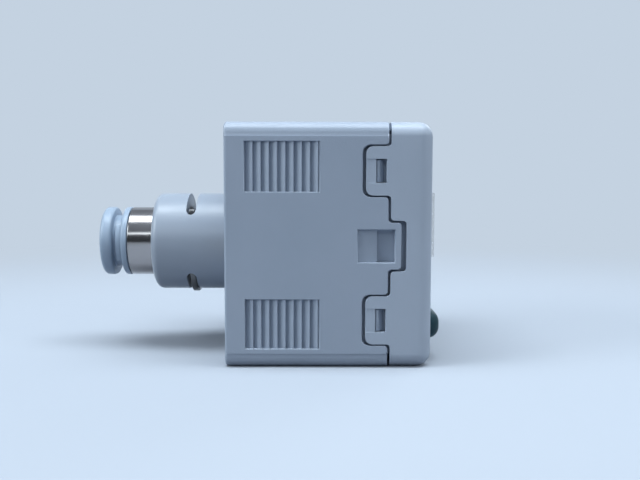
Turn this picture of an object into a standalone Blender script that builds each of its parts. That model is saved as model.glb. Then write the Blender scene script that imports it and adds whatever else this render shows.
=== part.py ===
"""Digital pressure switch: a square casing with a display front, ratchet sides and a push-in tube fitting.

The casing stands on its flat bottom. X runs from the tube fitting at the rear to the display at the front,
Y runs across the casing and Z runs up. The origin is on the bottom face, under the middle of the casing.
"""

import math

import bmesh
import bpy
from mathutils import Matrix, Vector

MM = 0.001

# Casing: rear housing and front bezel
BODY_WIDTH = 30.0 * MM
BODY_HEIGHT = 30.0 * MM
REAR_TO_ORIGIN = 12.5 * MM
HOUSING_LENGTH = 19.9 * MM
BEZEL_DEPTH = 5.15 * MM
SEAM_GAP = 0.3 * MM
HOUSING_EDGE_RADIUS = 1.3 * MM
BEZEL_EDGE_RADIUS = 1.75 * MM
REAR_CHAMFER = 0.2 * MM
HOUSING_WALL = 1.5 * MM
REAR_WALL = 1.5 * MM
BEZEL_WALL = 1.0 * MM
FACE_WALL = 1.3 * MM
CORNER_BOSS_WIDTH = 4.8 * MM
INNER_CORNER_RADIUS = 0.6 * MM
LEDGE_DROP = 1.75 * MM
LEDGE_STEP = 0.1 * MM

# Lip of the housing that the bezel slides over
LIP_WALL = 0.9 * MM
LIP_CLEARANCE = 0.25 * MM
LIP_END_GAP = 0.4 * MM
LIP_ROOT = 1.0 * MM

# Snap tabs of the bezel, their slots in the housing and the catches that hold them
TONGUE_SPACING = 3.1 * MM
TAB_SLOT_HEIGHT = 6.28 * MM
TAB_SLOT_LENGTH = 3.14 * MM
TAB_SIDE_GAP = 0.17 * MM
TAB_END_GAP = 0.4 * MM
TAB_SLOT_RADIUS = 0.9 * MM
TAB_RADIUS = 0.85 * MM
SEAM_CORNER_RADIUS = 0.45 * MM
CATCH_WEB = 1.22 * MM
CATCH_WINDOW_LENGTH = 1.26 * MM
CATCH_WINDOW_HEIGHT = 2.87 * MM
CATCH_CLEARANCE = 0.1 * MM
CATCH_SEAT_GAP = 0.05 * MM
CATCH_LENGTH = 0.92 * MM
CATCH_CREST = 0.3 * MM
CATCH_SET_BACK = 0.2 * MM
CATCH_FOOT = 0.25 * MM
CHANNEL_DEPTH = 0.07 * MM

# Tongue between the tabs, with the pocket for a mounting clip
TONGUE_HEIGHT = 5.72 * MM
TONGUE_REACH = 1.6 * MM
TONGUE_SIDE_GAP = 0.23 * MM
TONGUE_END_GAP = 0.6 * MM
POCKET_RIM = 0.8 * MM
POCKET_HEIGHT = 4.0 * MM
POCKET_DEEP_LENGTH = 2.14 * MM
POCKET_SHALLOW_LENGTH = 2.34 * MM
POCKET_DEEP = 1.15 * MM
POCKET_SHALLOW = 0.45 * MM

# Ratchet pockets for a panel-mount adapter
RATCHET_MARGIN = 2.38 * MM
RATCHET_HEIGHT = 6.04 * MM
RATCHET_FROM_REAR = 2.5 * MM
RATCHET_TEETH = 9
RATCHET_PITCH = 0.99 * MM
RATCHET_DEPTH = 0.6 * MM
RATCHET_CREST_DEPTH = 0.12 * MM
RATCHET_CREST_WIDTH = 0.1 * MM
RATCHET_END_GROOVE = 0.12 * MM

# Display window, keys and what lies behind them
WINDOW_SIDE_MARGIN = 2.8 * MM
WINDOW_TOP_MARGIN = 5.9 * MM
WINDOW_RADIUS = 1.0 * MM
WINDOW_GAP = 0.12 * MM
WINDOW_RECESS = 0.15 * MM
WINDOW_FLANGE = 0.5 * MM
WINDOW_FLANGE_THICKNESS = 0.6 * MM
LENS_INSET = 2.65 * MM
LENS_PROUD = 0.55 * MM
LENS_SIDE_INSET = 0.4 * MM
LENS_RADIUS = 0.15 * MM
KEY_COUNT = 3
KEY_HEIGHT = 3.6 * MM
KEY_SIDE_MARGIN = 3.6 * MM
KEY_SPACING = 3.0 * MM
KEY_BOTTOM_MARGIN = 2.75 * MM
KEY_WINDOW_GAP = 4.35 * MM
KEY_PROUD = 1.5 * MM
KEY_END_FLAT = 0.2 * MM
KEY_DOME_INSET = 0.2 * MM
KEY_GAP = 0.15 * MM
KEY_FLANGE = 0.45 * MM
KEY_FLANGE_THICKNESS = 0.6 * MM
KEY_STEM_RADIUS = 1.1 * MM
KEY_STEM_LENGTH = 0.7 * MM
SEAT_GAP = 0.3 * MM
SWITCH_INSET = 0.4 * MM
SWITCH_DEPTH = 1.5 * MM
PLUNGER_RADIUS = 0.8 * MM
PLUNGER_LENGTH = 0.4 * MM
DISPLAY_BOARD_THICKNESS = 1.0 * MM
LCD_GLASS = 0.5 * MM
LCD_LEDGE = 1.4 * MM
LCD_INSET = 0.5 * MM
LCD_GAP = 0.2 * MM
LIGHT_GUIDE_THICKNESS = 1.2 * MM
BOARD_SIDE_GAP = 0.35 * MM
HOLDER_WALL = 0.8 * MM
HOLDER_WINDOW_HEIGHT = 9.0 * MM
HOLDER_WINDOW_MARGIN = 2.5 * MM

# Boards, sensor and what joins them
MAIN_BOARD_THICKNESS = 1.0 * MM
BOARD_SCREW_FROM_WALL = 3.5 * MM
SCREW_SHANK_RADIUS = 0.75 * MM
SCREW_HOLE_RADIUS = 0.9 * MM
SCREW_HEAD_RADIUS = 1.35 * MM
SCREW_HEAD_HEIGHT = 0.9 * MM
SCREW_CROWN_RADIUS = 0.95 * MM
SCREW_LENGTH = 3.0 * MM
SCREW_SLOT = 0.35 * MM
LINK_WIDTH = 10.4 * MM
LINK_HEIGHT = 2.6 * MM
LINK_WALL = 0.6 * MM
LINK_PLUG_LENGTH = 4.0 * MM
LINK_TOP_GAP = 1.2 * MM
SENSOR_RADIUS = 4.4 * MM
SENSOR_CAP_RADIUS = 3.5 * MM
SENSOR_BASE = 1.2 * MM
SENSOR_CAP = 1.6 * MM
SENSOR_EDGE = 0.15 * MM
SENSOR_RING_RADIUS = 2.6 * MM

# Tube fitting, sized outwards from the tube
TUBE_DIAMETER = 6.0 * MM
TUBE_CLEARANCE = 0.05 * MM
BUTTON_WALL = 0.45 * MM
BUTTON_CLEARANCE = 0.12 * MM
GUIDE_WALL = 0.4 * MM
FIT_CLEARANCE = 0.1 * MM
SLEEVE_WALL = 0.53 * MM
ADAPTOR_WALL = 1.8 * MM
ADAPTOR_LENGTH = 10.8 * MM
ADAPTOR_TAPER = 0.35 * MM
ADAPTOR_RIM = 0.35 * MM
ADAPTOR_EDGE = 0.15 * MM
SLEEVE_PROUD = 3.35 * MM
SLEEVE_EDGE = 0.15 * MM
COLLAR_THICKNESS = 0.8 * MM
COLLAR_SKIN = 0.3 * MM
GUIDE_DEPTH = 1.8 * MM
BUTTON_GAP = 1.3 * MM
BUTTON_FLANGE = 1.55 * MM
BUTTON_RIM_RADIUS = 0.5 * MM
BUTTON_LEAD_IN = 0.35 * MM
BUTTON_TRAVEL = 0.65 * MM
BUTTON_RIB_RISE = 0.75 * MM
BUTTON_RIB_GAP = 0.55 * MM
BUTTON_RIB_ANGLE = 72.0
BUTTON_TIP_REACH = 0.6 * MM
COLLET_LENGTH = 3.1 * MM
COLLET_WALL = 0.38 * MM
COLLET_SLITS = 6
COLLET_SLIT_WIDTH = 0.4 * MM
SEAL_LENGTH = 1.4 * MM
SEAL_SQUEEZE = 0.05 * MM
SHOULDER_LENGTH = 0.8 * MM
CLIP_SLOT_WIDTH = 1.3 * MM
CLIP_SLOT_SKIN = 1.3 * MM
CLIP_SLOT_RADIUS = 0.55 * MM
CLIP_THICKNESS = 0.8 * MM
CLIP_GROOVE_DEPTH = 0.7 * MM
CLIP_PLAY = 0.12 * MM
CLIP_PROUD = 0.4 * MM
CLIP_TIP_RECESS = 1.9 * MM
CLIP_TIP_RADIUS = 0.4 * MM
RING_GROOVE_GAP = 0.75 * MM
RING_SECTION_RADIUS = 0.42 * MM
RING_GROOVE_WIDTH = 1.1 * MM
SLEEVE_END = 1.0 * MM
PASSAGE_RADIUS = 1.2 * MM
PORT_FLANGE_THICKNESS = 1.5 * MM
PORT_FLANGE_LEDGE = 0.4 * MM
PORT_FLANGE_RADIUS = 0.5 * MM

# Rear face: thread inserts for a bracket and the socket of the lead
INSERT_PORT_GAP = 0.83 * MM
INSERT_RADIUS = 2.1 * MM
INSERT_BORE_RADIUS = 1.25 * MM
INSERT_LENGTH = 4.0 * MM
INSERT_BOSS_WALL = 0.45 * MM
INSERT_BOSS_LENGTH = 5.0 * MM
SOCKET_WIDTH = 11.6 * MM
SOCKET_HEIGHT = 4.4 * MM
SOCKET_WALL = 0.5 * MM
SOCKET_WALL_GAP = 0.4 * MM
SOCKET_PORT_GAP = 1.48 * MM
SOCKET_FLOOR = 1.2 * MM
SOCKET_KEYWAY_WIDTH = 1.2 * MM
PIN_COUNT = 5
PIN_PITCH = 2.0 * MM
PIN_WIDTH = 0.5 * MM
PIN_RECESS = 1.5 * MM
PIN_TAIL = 0.5 * MM

# Mesh fineness and the overlap given to shapes that are cut or joined
TURN_STEPS = 40
SMALL_TURN_STEPS = 24
FINE_HOLE_STEPS = 12
RING_SECTION_STEPS = 8
ROUND_SEGMENTS = 5
CORNER_SEGMENTS = 4
SHARP_ANGLE = 35.0
OVERLAP = 1.0 * MM
MERGE = 0.00001

# Places along X, from the rear to the front
REAR_X = -REAR_TO_ORIGIN
SEAM_X = REAR_X + HOUSING_LENGTH
BEZEL_REAR_X = SEAM_X + SEAM_GAP
FRONT_X = BEZEL_REAR_X + BEZEL_DEPTH
FACE_INNER_X = FRONT_X - FACE_WALL
TAB_SLOT_END_X = SEAM_X - TAB_SLOT_LENGTH
TAB_END_X = TAB_SLOT_END_X + TAB_END_GAP
TONGUE_X = SEAM_X + TONGUE_REACH
KEY_FLANGE_X = FACE_INNER_X - SEAT_GAP - KEY_FLANGE_THICKNESS
LIP_FRONT_X = KEY_FLANGE_X - LIP_END_GAP
WINDOW_FLANGE_X = FACE_INNER_X - SEAT_GAP - WINDOW_FLANGE_THICKNESS
LCD_FRONT_X = WINDOW_FLANGE_X - LCD_GAP
LIGHT_GUIDE_X = LCD_FRONT_X - 2 * LCD_GLASS - LCD_GAP - LIGHT_GUIDE_THICKNESS
KEY_STEM_X = KEY_FLANGE_X - KEY_STEM_LENGTH
SWITCH_X = KEY_STEM_X - SEAT_GAP - PLUNGER_LENGTH - SWITCH_DEPTH
DISPLAY_BOARD_X = min(SWITCH_X, LIGHT_GUIDE_X) - LCD_GAP - DISPLAY_BOARD_THICKNESS
REAR_INNER_X = REAR_X + REAR_WALL
PORT_FLANGE_X = REAR_INNER_X + SEAT_GAP
PORT_FRONT_X = PORT_FLANGE_X + PORT_FLANGE_THICKNESS
SENSOR_X = PORT_FRONT_X + LCD_GAP
MAIN_BOARD_X = SENSOR_X + SENSOR_BASE + SENSOR_CAP + SEAT_GAP
MAIN_BOARD_FRONT_X = MAIN_BOARD_X + MAIN_BOARD_THICKNESS

# Widths and heights that several pieces share
HALF_WIDTH = BODY_WIDTH / 2
MID_Z = BODY_HEIGHT / 2
TAB_OFFSET = TONGUE_HEIGHT / 2 + TONGUE_SPACING + TAB_SLOT_HEIGHT / 2
RATCHET_OFFSET = BODY_HEIGHT / 2 - RATCHET_MARGIN - RATCHET_HEIGHT / 2
LIP_INSET = BEZEL_WALL + LIP_CLEARANCE
CAVITY_INSET = LIP_INSET + LIP_WALL
BOARD_INSET = CAVITY_INSET + BOARD_SIDE_GAP
KEY_CENTRE_HEIGHT = KEY_BOTTOM_MARGIN + KEY_HEIGHT / 2
KEY_WIDTH = (BODY_WIDTH - 2 * KEY_SIDE_MARGIN - (KEY_COUNT - 1) * KEY_SPACING) / KEY_COUNT
KEY_PITCH = KEY_WIDTH + KEY_SPACING
KEY_CORNER_RADIUS = KEY_HEIGHT / 2 - KEY_END_FLAT
WINDOW_LOW = KEY_BOTTOM_MARGIN + KEY_HEIGHT + KEY_WINDOW_GAP
WINDOW_HIGH = BODY_HEIGHT - WINDOW_TOP_MARGIN
WINDOW_HALF_WIDTH = HALF_WIDTH - WINDOW_SIDE_MARGIN
LINK_CENTRE_HEIGHT = BODY_HEIGHT - BOARD_INSET - HOLDER_WALL - LINK_TOP_GAP - LINK_HEIGHT / 2
CATCH_X = TAB_END_X + CATCH_WEB + CATCH_SEAT_GAP
SOCKET_LENGTH = MAIN_BOARD_X - SEAT_GAP - REAR_X
PIN_START_X = REAR_X + PIN_RECESS
PIN_END_X = MAIN_BOARD_FRONT_X + PIN_TAIL

# Radii of the fitting, outwards from the tube
TUBE_BORE_RADIUS = TUBE_DIAMETER / 2 + TUBE_CLEARANCE
BUTTON_RADIUS = TUBE_BORE_RADIUS + BUTTON_WALL
GUIDE_BORE_RADIUS = BUTTON_RADIUS + BUTTON_CLEARANCE
GUIDE_RADIUS = GUIDE_BORE_RADIUS + GUIDE_WALL
SLEEVE_BORE_RADIUS = GUIDE_RADIUS + FIT_CLEARANCE
SLEEVE_RADIUS = SLEEVE_BORE_RADIUS + SLEEVE_WALL
SLEEVE_GROOVE_RADIUS = SLEEVE_RADIUS - CLIP_GROOVE_DEPTH
ADAPTOR_BORE_RADIUS = SLEEVE_RADIUS + FIT_CLEARANCE
ADAPTOR_RADIUS = ADAPTOR_BORE_RADIUS + ADAPTOR_WALL
BUTTON_RIB_RADIUS = min(BUTTON_RADIUS + BUTTON_RIB_RISE, SLEEVE_RADIUS - COLLAR_SKIN)
CLIP_SLOT_HALF_SPAN = ADAPTOR_RADIUS - CLIP_SLOT_SKIN
PORT_HOLE_RADIUS = ADAPTOR_RADIUS + CLIP_PLAY
SOCKET_CENTRE_HEIGHT = HOUSING_WALL + SOCKET_WALL_GAP + SOCKET_HEIGHT / 2
INSERT_OFFSET = PORT_HOLE_RADIUS + PORT_FLANGE_LEDGE + INSERT_PORT_GAP + INSERT_RADIUS
PORT_FLANGE_LOW = SOCKET_CENTRE_HEIGHT + SOCKET_HEIGHT / 2 + SOCKET_PORT_GAP
PORT_HEIGHT = PORT_FLANGE_LOW + PORT_HOLE_RADIUS - ADAPTOR_EDGE

# Places along the fitting, from its open end inwards
ADAPTOR_END_X = REAR_X - ADAPTOR_LENGTH
SLEEVE_MOUTH_X = ADAPTOR_END_X - SLEEVE_PROUD
COLLAR_INNER_X = SLEEVE_MOUTH_X - FIT_CLEARANCE
COLLAR_X = COLLAR_INNER_X - COLLAR_THICKNESS
BUTTON_INNER_X = COLLAR_X - BUTTON_GAP
BUTTON_END_X = BUTTON_INNER_X - BUTTON_FLANGE
GUIDE_END_X = SLEEVE_MOUTH_X + GUIDE_DEPTH
COLLET_X = GUIDE_END_X + SEAT_GAP
BUTTON_TIP_X = COLLET_X + BUTTON_TIP_REACH
COLLET_CONE_X = BUTTON_TIP_X + BUTTON_TRAVEL + FIT_CLEARANCE
SEAL_X = COLLET_X + COLLET_LENGTH + SEAT_GAP
SHOULDER_X = SEAL_X + SEAL_LENGTH + SEAT_GAP
CLIP_SLOT_X = SHOULDER_X + SHOULDER_LENGTH
CLIP_SLOT_END_X = CLIP_SLOT_X + CLIP_SLOT_WIDTH
RING_GROOVE_X = CLIP_SLOT_END_X + RING_GROOVE_GAP
SLEEVE_END_X = RING_GROOVE_X + RING_GROOVE_WIDTH + SLEEVE_END
ADAPTOR_FLOOR_X = SLEEVE_END_X + SEAT_GAP

PORT_AXIS = Vector((0.0, 0.0, PORT_HEIGHT))


def clear_scene():
    for obj in list(bpy.data.objects):
        bpy.data.objects.remove(obj, do_unlink=True)


def new_collection(name):
    collection = bpy.data.collections.new(name)
    bpy.context.scene.collection.children.link(collection)
    return collection


def principled(name, colour, roughness, metallic=0.0, transmission=0.0):
    material = bpy.data.materials.new(name)
    material.use_nodes = True
    material.diffuse_color = (*colour, 1.0)
    shader = material.node_tree.nodes["Principled BSDF"]
    shader.inputs["Base Color"].default_value = (*colour, 1.0)
    shader.inputs["Roughness"].default_value = roughness
    shader.inputs["Metallic"].default_value = metallic
    shader.inputs["Transmission Weight"].default_value = transmission
    return material


clear_scene()
PARTS = new_collection("digital_pressure_switch")
CUTTERS = new_collection("cutters")

GREY_PLASTIC = principled("light_grey_plastic", (0.62, 0.65, 0.66), 0.45)
WHITE_PLASTIC = principled("white_plastic", (0.80, 0.83, 0.84), 0.4)
CLEAR_PLASTIC = principled("clear_window_plastic", (0.75, 0.80, 0.82), 0.05, transmission=0.9)
KEY_RUBBER = principled("green_grey_rubber", (0.03, 0.06, 0.055), 0.6)
SEAL_RUBBER = principled("black_seal_rubber", (0.02, 0.02, 0.02), 0.6)
STEEL = principled("stainless_steel", (0.62, 0.61, 0.58), 0.2, 1.0)
NICKEL = principled("bright_nickel", (0.66, 0.64, 0.60), 0.1, 1.0)
BRASS = principled("brass", (0.75, 0.55, 0.22), 0.3, 1.0)
GOLD = principled("gold_plate", (0.85, 0.65, 0.25), 0.25, 1.0)
BOARD_GREEN = principled("green_board", (0.03, 0.16, 0.07), 0.5)
DARK_GLASS = principled("lcd_glass", (0.03, 0.035, 0.04), 0.08)
DARK_PLASTIC = principled("black_plastic", (0.03, 0.03, 0.035), 0.45)


def mesh_object(name, bm, location=(0.0, 0.0, 0.0)):
    """An object from a bmesh. It starts among the cutters, and finish() moves a part out of them."""
    mesh = bpy.data.meshes.new(name)
    bm.to_mesh(mesh)
    bm.free()
    obj = bpy.data.objects.new(name, mesh)
    obj.location = location
    obj.hide_render = True
    obj.display_type = "WIRE"
    CUTTERS.objects.link(obj)
    return obj


def finish(obj, material, name=None):
    """Makes a helper a part: named, with its material and smooth round faces, in the parts' collection."""
    obj.name = name or obj.name
    obj.hide_render = False
    obj.display_type = "TEXTURED"
    CUTTERS.objects.unlink(obj)
    PARTS.objects.link(obj)
    obj.data.materials.clear()
    obj.data.materials.append(material)
    obj.data.shade_smooth()
    obj.data.set_sharp_from_angle(angle=math.radians(SHARP_ANGLE))
    return obj


def block(name, low, high):
    """A box between two corners."""
    low, high = Vector(low), Vector(high)
    bm = bmesh.new()
    bmesh.ops.create_cube(bm, size=1.0)
    bmesh.ops.scale(bm, vec=high - low, verts=bm.verts)
    return mesh_object(name, bm, (low + high) / 2)


def bevel(obj, radius, chosen, segments=ROUND_SEGMENTS):
    """Rounds the edges of a mesh that the function chosen picks."""
    bm = bmesh.new()
    bm.from_mesh(obj.data)
    edges = [edge for edge in bm.edges if chosen(edge)]
    bmesh.ops.bevel(
        bm, geom=edges, offset=radius, offset_type="OFFSET", segments=segments, profile=0.5,
        affect="EDGES", clamp_overlap=True,
    )
    bm.to_mesh(obj.data)
    bm.free()
    return obj


def runs_along(axis):
    """Picks the edges that run along one axis: 0 for X, 1 for Y, 2 for Z."""
    def chosen(edge):
        across = edge.verts[0].co - edge.verts[1].co
        across[axis] = 0.0
        return across.length < MERGE
    return chosen


def lies_at(axis, side):
    """Picks the edges round a block's end face on the low (side -1) or high (side 1) side of an axis."""
    def chosen(edge):
        on_face = [side * face.normal[axis] > 0.99 for face in edge.link_faces]
        return any(on_face) and not all(on_face)
    return chosen


def rounded_block(name, low, high, radius, axis=0):
    """A box between two corners, with its four edges along one axis rounded."""
    return bevel(block(name, low, high), radius, runs_along(axis), CORNER_SEGMENTS)


def round_corners(corners, segments=CORNER_SEGMENTS):
    """Outline points through corners given as (u, v, radius). A radius of 0 keeps the corner sharp."""
    points = []
    for index, (u, v, radius) in enumerate(corners):
        here = Vector((u, v))
        if radius == 0:
            points.append(here)
            continue
        back = (Vector(corners[index - 1][:2]) - here).normalized()
        onward = (Vector(corners[(index + 1) % len(corners)][:2]) - here).normalized()
        half_angle = back.angle(onward) / 2
        centre = here + (back + onward).normalized() * radius / math.sin(half_angle)
        start = here + back * radius / math.tan(half_angle) - centre
        end = here + onward * radius / math.tan(half_angle) - centre
        first = math.atan2(start.y, start.x)
        sweep = (math.atan2(end.y, end.x) - first + math.pi) % (2 * math.pi) - math.pi
        for step in range(segments + 1):
            angle = first + sweep * step / segments
            points.append(centre + radius * Vector((math.cos(angle), math.sin(angle))))
    return points


def box_outline(low, high, radius):
    """Corners of a rectangle with equal radii, for round_corners()."""
    return [
        (low[0], low[1], radius), (high[0], low[1], radius),
        (high[0], high[1], radius), (low[0], high[1], radius),
    ]


# Each matrix turns an outline's own plane and thickness to the world axes
OUTLINE_TURNS = {
    "X": Matrix(((0, 0, 1), (1, 0, 0), (0, 1, 0))),
    "Y": Matrix(((1, 0, 0), (0, 0, 1), (0, 1, 0))),
    "Z": Matrix.Identity(3),
}


def extruded(name, outline, start, end, axis):
    """A flat outline with thickness along an axis: one face, drawn out from start to end.

    The points are pairs on the two other axes, in X, Y, Z order.
    """
    bm = bmesh.new()
    face = bm.faces.new([bm.verts.new((u, v, start)) for u, v in outline])
    drawn = bmesh.ops.extrude_face_region(bm, geom=[face])
    top = [item for item in drawn["geom"] if isinstance(item, bmesh.types.BMVert)]
    bmesh.ops.translate(bm, vec=(0.0, 0.0, end - start), verts=top)
    bmesh.ops.transform(bm, matrix=OUTLINE_TURNS[axis].to_4x4(), verts=bm.verts)
    bmesh.ops.recalc_face_normals(bm, faces=bm.faces)
    return mesh_object(name, bm)


def turned(name, profile, centre, closed=True, steps=TURN_STEPS):
    """A shape turned about an axis along X. The profile holds (x, radius) pairs, with x in the world.

    It runs down its outer side from the front to the rear. A closed profile then comes back along its
    bore, and an open one starts and ends on the axis.
    """
    mesh = bpy.data.meshes.new(name)
    count = len(profile)
    edges = [(index, (index + 1) % count) for index in range(count if closed else count - 1)]
    mesh.from_pydata([(radius, 0.0, x) for x, radius in profile], edges, [])
    obj = bpy.data.objects.new(name, mesh)
    obj.location = (0.0, centre[1], centre[2])
    obj.rotation_euler = (0.0, math.pi / 2, 0.0)
    obj.hide_render = True
    obj.display_type = "WIRE"
    CUTTERS.objects.link(obj)
    screw = obj.modifiers.new("turn", "SCREW")
    screw.steps = steps
    screw.render_steps = steps
    screw.use_merge_vertices = True
    screw.merge_threshold = MERGE
    screw.use_smooth_shade = True
    return obj


def rod(name, start, end, radius, centre, steps=SMALL_TURN_STEPS):
    """A plain round bar or round cutter along X."""
    profile = [(end, 0.0), (end, radius), (start, radius), (start, 0.0)]
    return turned(name, profile, centre, closed=False, steps=steps)


def boolean(target, other, operation="DIFFERENCE"):
    modifier = target.modifiers.new(f"{operation.lower()} {other.name}", "BOOLEAN")
    modifier.operation = operation
    modifier.solver = "EXACT"
    modifier.object = other
    return target


def cut(target, *cutters):
    for cutter in cutters:
        boolean(target, cutter)
    return target


def join(target, *others):
    for other in others:
        boolean(target, other, "UNION")
    return target


MIDDLE = bpy.data.objects.new("casing_middle", None)
MIDDLE.location = (0.0, 0.0, MID_Z)
CUTTERS.objects.link(MIDDLE)


def mirrored(obj, across_z=True):
    """Repeats a helper on the other side of the casing, and above and below its middle."""
    for name, axes in (("sides", (False, True, False)), ("heights", (False, False, True))):
        if name == "heights" and not across_z:
            continue
        modifier = obj.modifiers.new(name, "MIRROR")
        modifier.use_axis = axes
        modifier.use_mirror_merge = False
        modifier.mirror_object = MIDDLE
    return obj


def seam_outline(seam_x, tab_end_x, tab_half, tongue_x, tongue_half, far_x):
    """Outline, in X and Z, of all that lies between a stepped seam line and a far X.

    The seam steps back round each snap tab and forward round the tongue between them.
    """
    tab_radius = TAB_SLOT_RADIUS if far_x > seam_x else TAB_RADIUS
    upper = [
        (seam_x, MID_Z + TAB_OFFSET + tab_half, SEAM_CORNER_RADIUS),
        (tab_end_x, MID_Z + TAB_OFFSET + tab_half, tab_radius),
        (tab_end_x, MID_Z + TAB_OFFSET - tab_half, tab_radius),
        (seam_x, MID_Z + TAB_OFFSET - tab_half, SEAM_CORNER_RADIUS),
        (seam_x, MID_Z + tongue_half, SEAM_CORNER_RADIUS),
        (tongue_x, MID_Z + tongue_half, SEAM_CORNER_RADIUS),
    ]
    lower = [(x, 2 * MID_Z - z, radius) for x, z, radius in reversed(upper)]
    top = [(far_x, BODY_HEIGHT + OVERLAP, 0), (seam_x, BODY_HEIGHT + OVERLAP, 0)]
    bottom = [(seam_x, -OVERLAP, 0), (far_x, -OVERLAP, 0)]
    return round_corners(top + upper + lower + bottom)


def inner_box(name, inset, start, end, radius):
    """A rounded block along X whose sides lie a constant inset inside the casing's outer faces."""
    low = (start, inset - HALF_WIDTH, inset)
    high = (end, HALF_WIDTH - inset, BODY_HEIGHT - inset)
    return rounded_block(name, low, high, radius)


def catches():
    """Wedges on the lip that the bezel's tabs snap over: steep at the rear, sloping to the front."""
    root_y = HALF_WIDTH - LIP_INSET - LIP_WALL / 2
    crest_y = HALF_WIDTH - CATCH_SET_BACK
    foot_y = HALF_WIDTH - LIP_INSET + CATCH_FOOT
    wedge = [
        (CATCH_X, root_y), (CATCH_X, crest_y), (CATCH_X + CATCH_CREST, crest_y),
        (CATCH_X + CATCH_LENGTH, foot_y), (CATCH_X + CATCH_LENGTH, root_y),
    ]
    half = CATCH_WINDOW_HEIGHT / 2 - CATCH_CLEARANCE
    middle = MID_Z + TAB_OFFSET
    return mirrored(extruded("catches", wedge, middle - half, middle + half, "Z"))


def ratchet_pockets():
    """Cutter for the four toothed pockets. Each tooth has a steep wall and a ramp up to the front."""
    start = REAR_X + RATCHET_FROM_REAR
    deep_y = HALF_WIDTH - RATCHET_DEPTH
    crest_y = HALF_WIDTH - RATCHET_CREST_DEPTH
    outline = [(start, HALF_WIDTH + OVERLAP)]
    for tooth in range(RATCHET_TEETH):
        root = start + tooth * RATCHET_PITCH
        outline.append((root, deep_y))
        outline.append((root + RATCHET_PITCH - RATCHET_CREST_WIDTH, crest_y))
        outline.append((root + RATCHET_PITCH, crest_y))
    end = start + RATCHET_TEETH * RATCHET_PITCH
    outline.append((end, (deep_y + crest_y) / 2))
    outline.append((end + RATCHET_END_GROOVE, (deep_y + crest_y) / 2))
    outline.append((end + RATCHET_END_GROOVE, HALF_WIDTH + OVERLAP))
    middle = MID_Z + RATCHET_OFFSET
    half = RATCHET_HEIGHT / 2
    return mirrored(extruded("ratchet_pockets", outline, middle - half, middle + half, "Z"))


def clip_pockets():
    """Cutter for the stepped pocket in each tongue: shallow at the rear, deep at the front."""
    front = TONGUE_X - POCKET_RIM
    step = front - POCKET_DEEP_LENGTH
    rear = step - POCKET_SHALLOW_LENGTH
    outline = [
        (rear, HALF_WIDTH + OVERLAP), (rear, HALF_WIDTH - POCKET_SHALLOW),
        (step, HALF_WIDTH - POCKET_SHALLOW), (step, HALF_WIDTH - POCKET_DEEP),
        (front, HALF_WIDTH - POCKET_DEEP), (front, HALF_WIDTH + OVERLAP),
    ]
    half = POCKET_HEIGHT / 2
    pocket = extruded("clip_pockets", outline, MID_Z - half, MID_Z + half, "Z")
    return mirrored(pocket, across_z=False)


def side_panels(end_x):
    """The side faces between the two ledges, which stand a little proud of the rounded box."""
    low = (REAR_X, -HALF_WIDTH, LEDGE_DROP)
    high = (end_x, HALF_WIDTH, BODY_HEIGHT - LEDGE_DROP)
    return bevel(block("side_panels", low, high), REAR_CHAMFER, lies_at(0, -1), 1)


def insert_places():
    return [Vector((0.0, side * INSERT_OFFSET, PORT_HEIGHT)) for side in (-1, 1)]


def screw_places():
    """Two opposite corners of the main board, as points on the screws' axes."""
    inset = HOUSING_WALL + BOARD_SCREW_FROM_WALL
    near = Vector((0.0, inset - HALF_WIDTH, inset))
    far = Vector((0.0, HALF_WIDTH - inset, BODY_HEIGHT - inset))
    return [near, far]


def socket_outline(grow, width=SOCKET_WIDTH, height=SOCKET_HEIGHT):
    low = (-width / 2 - grow, SOCKET_CENTRE_HEIGHT - height / 2 - grow)
    high = (width / 2 + grow, SOCKET_CENTRE_HEIGHT + height / 2 + grow)
    return round_corners(box_outline(low, high, SOCKET_WALL))


def rear_housing():
    shell_end = TONGUE_X + OVERLAP
    low = (REAR_X, LEDGE_STEP - HALF_WIDTH, 0.0)
    high = (shell_end, HALF_WIDTH - LEDGE_STEP, BODY_HEIGHT)
    shell = rounded_block("rear_housing", low, high, HOUSING_EDGE_RADIUS)
    bevel(shell, REAR_CHAMFER, lies_at(0, -1), 1)
    join(shell, side_panels(shell_end))
    tab_half = TAB_SLOT_HEIGHT / 2
    front = seam_outline(
        SEAM_X, TAB_SLOT_END_X, tab_half, TONGUE_X, TONGUE_HEIGHT / 2, shell_end + OVERLAP
    )
    reach = HALF_WIDTH + OVERLAP
    cut(shell, extruded("front_of_seam", front, -reach, reach, "Y"))
    lip_start = TAB_SLOT_END_X - LIP_ROOT
    join(shell, inner_box("lip", LIP_INSET, lip_start, LIP_FRONT_X, INNER_CORNER_RADIUS), catches())
    cut(
        shell,
        inner_box("rear_cavity", HOUSING_WALL, REAR_INNER_X, lip_start, INNER_CORNER_RADIUS),
        inner_box("front_cavity", CAVITY_INSET, REAR_INNER_X + OVERLAP, LIP_FRONT_X + OVERLAP,
                  INNER_CORNER_RADIUS / 2),
        ratchet_pockets(),
        clip_pockets(),
    )
    add_bosses(shell)
    return finish(shell, GREY_PLASTIC)


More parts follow.
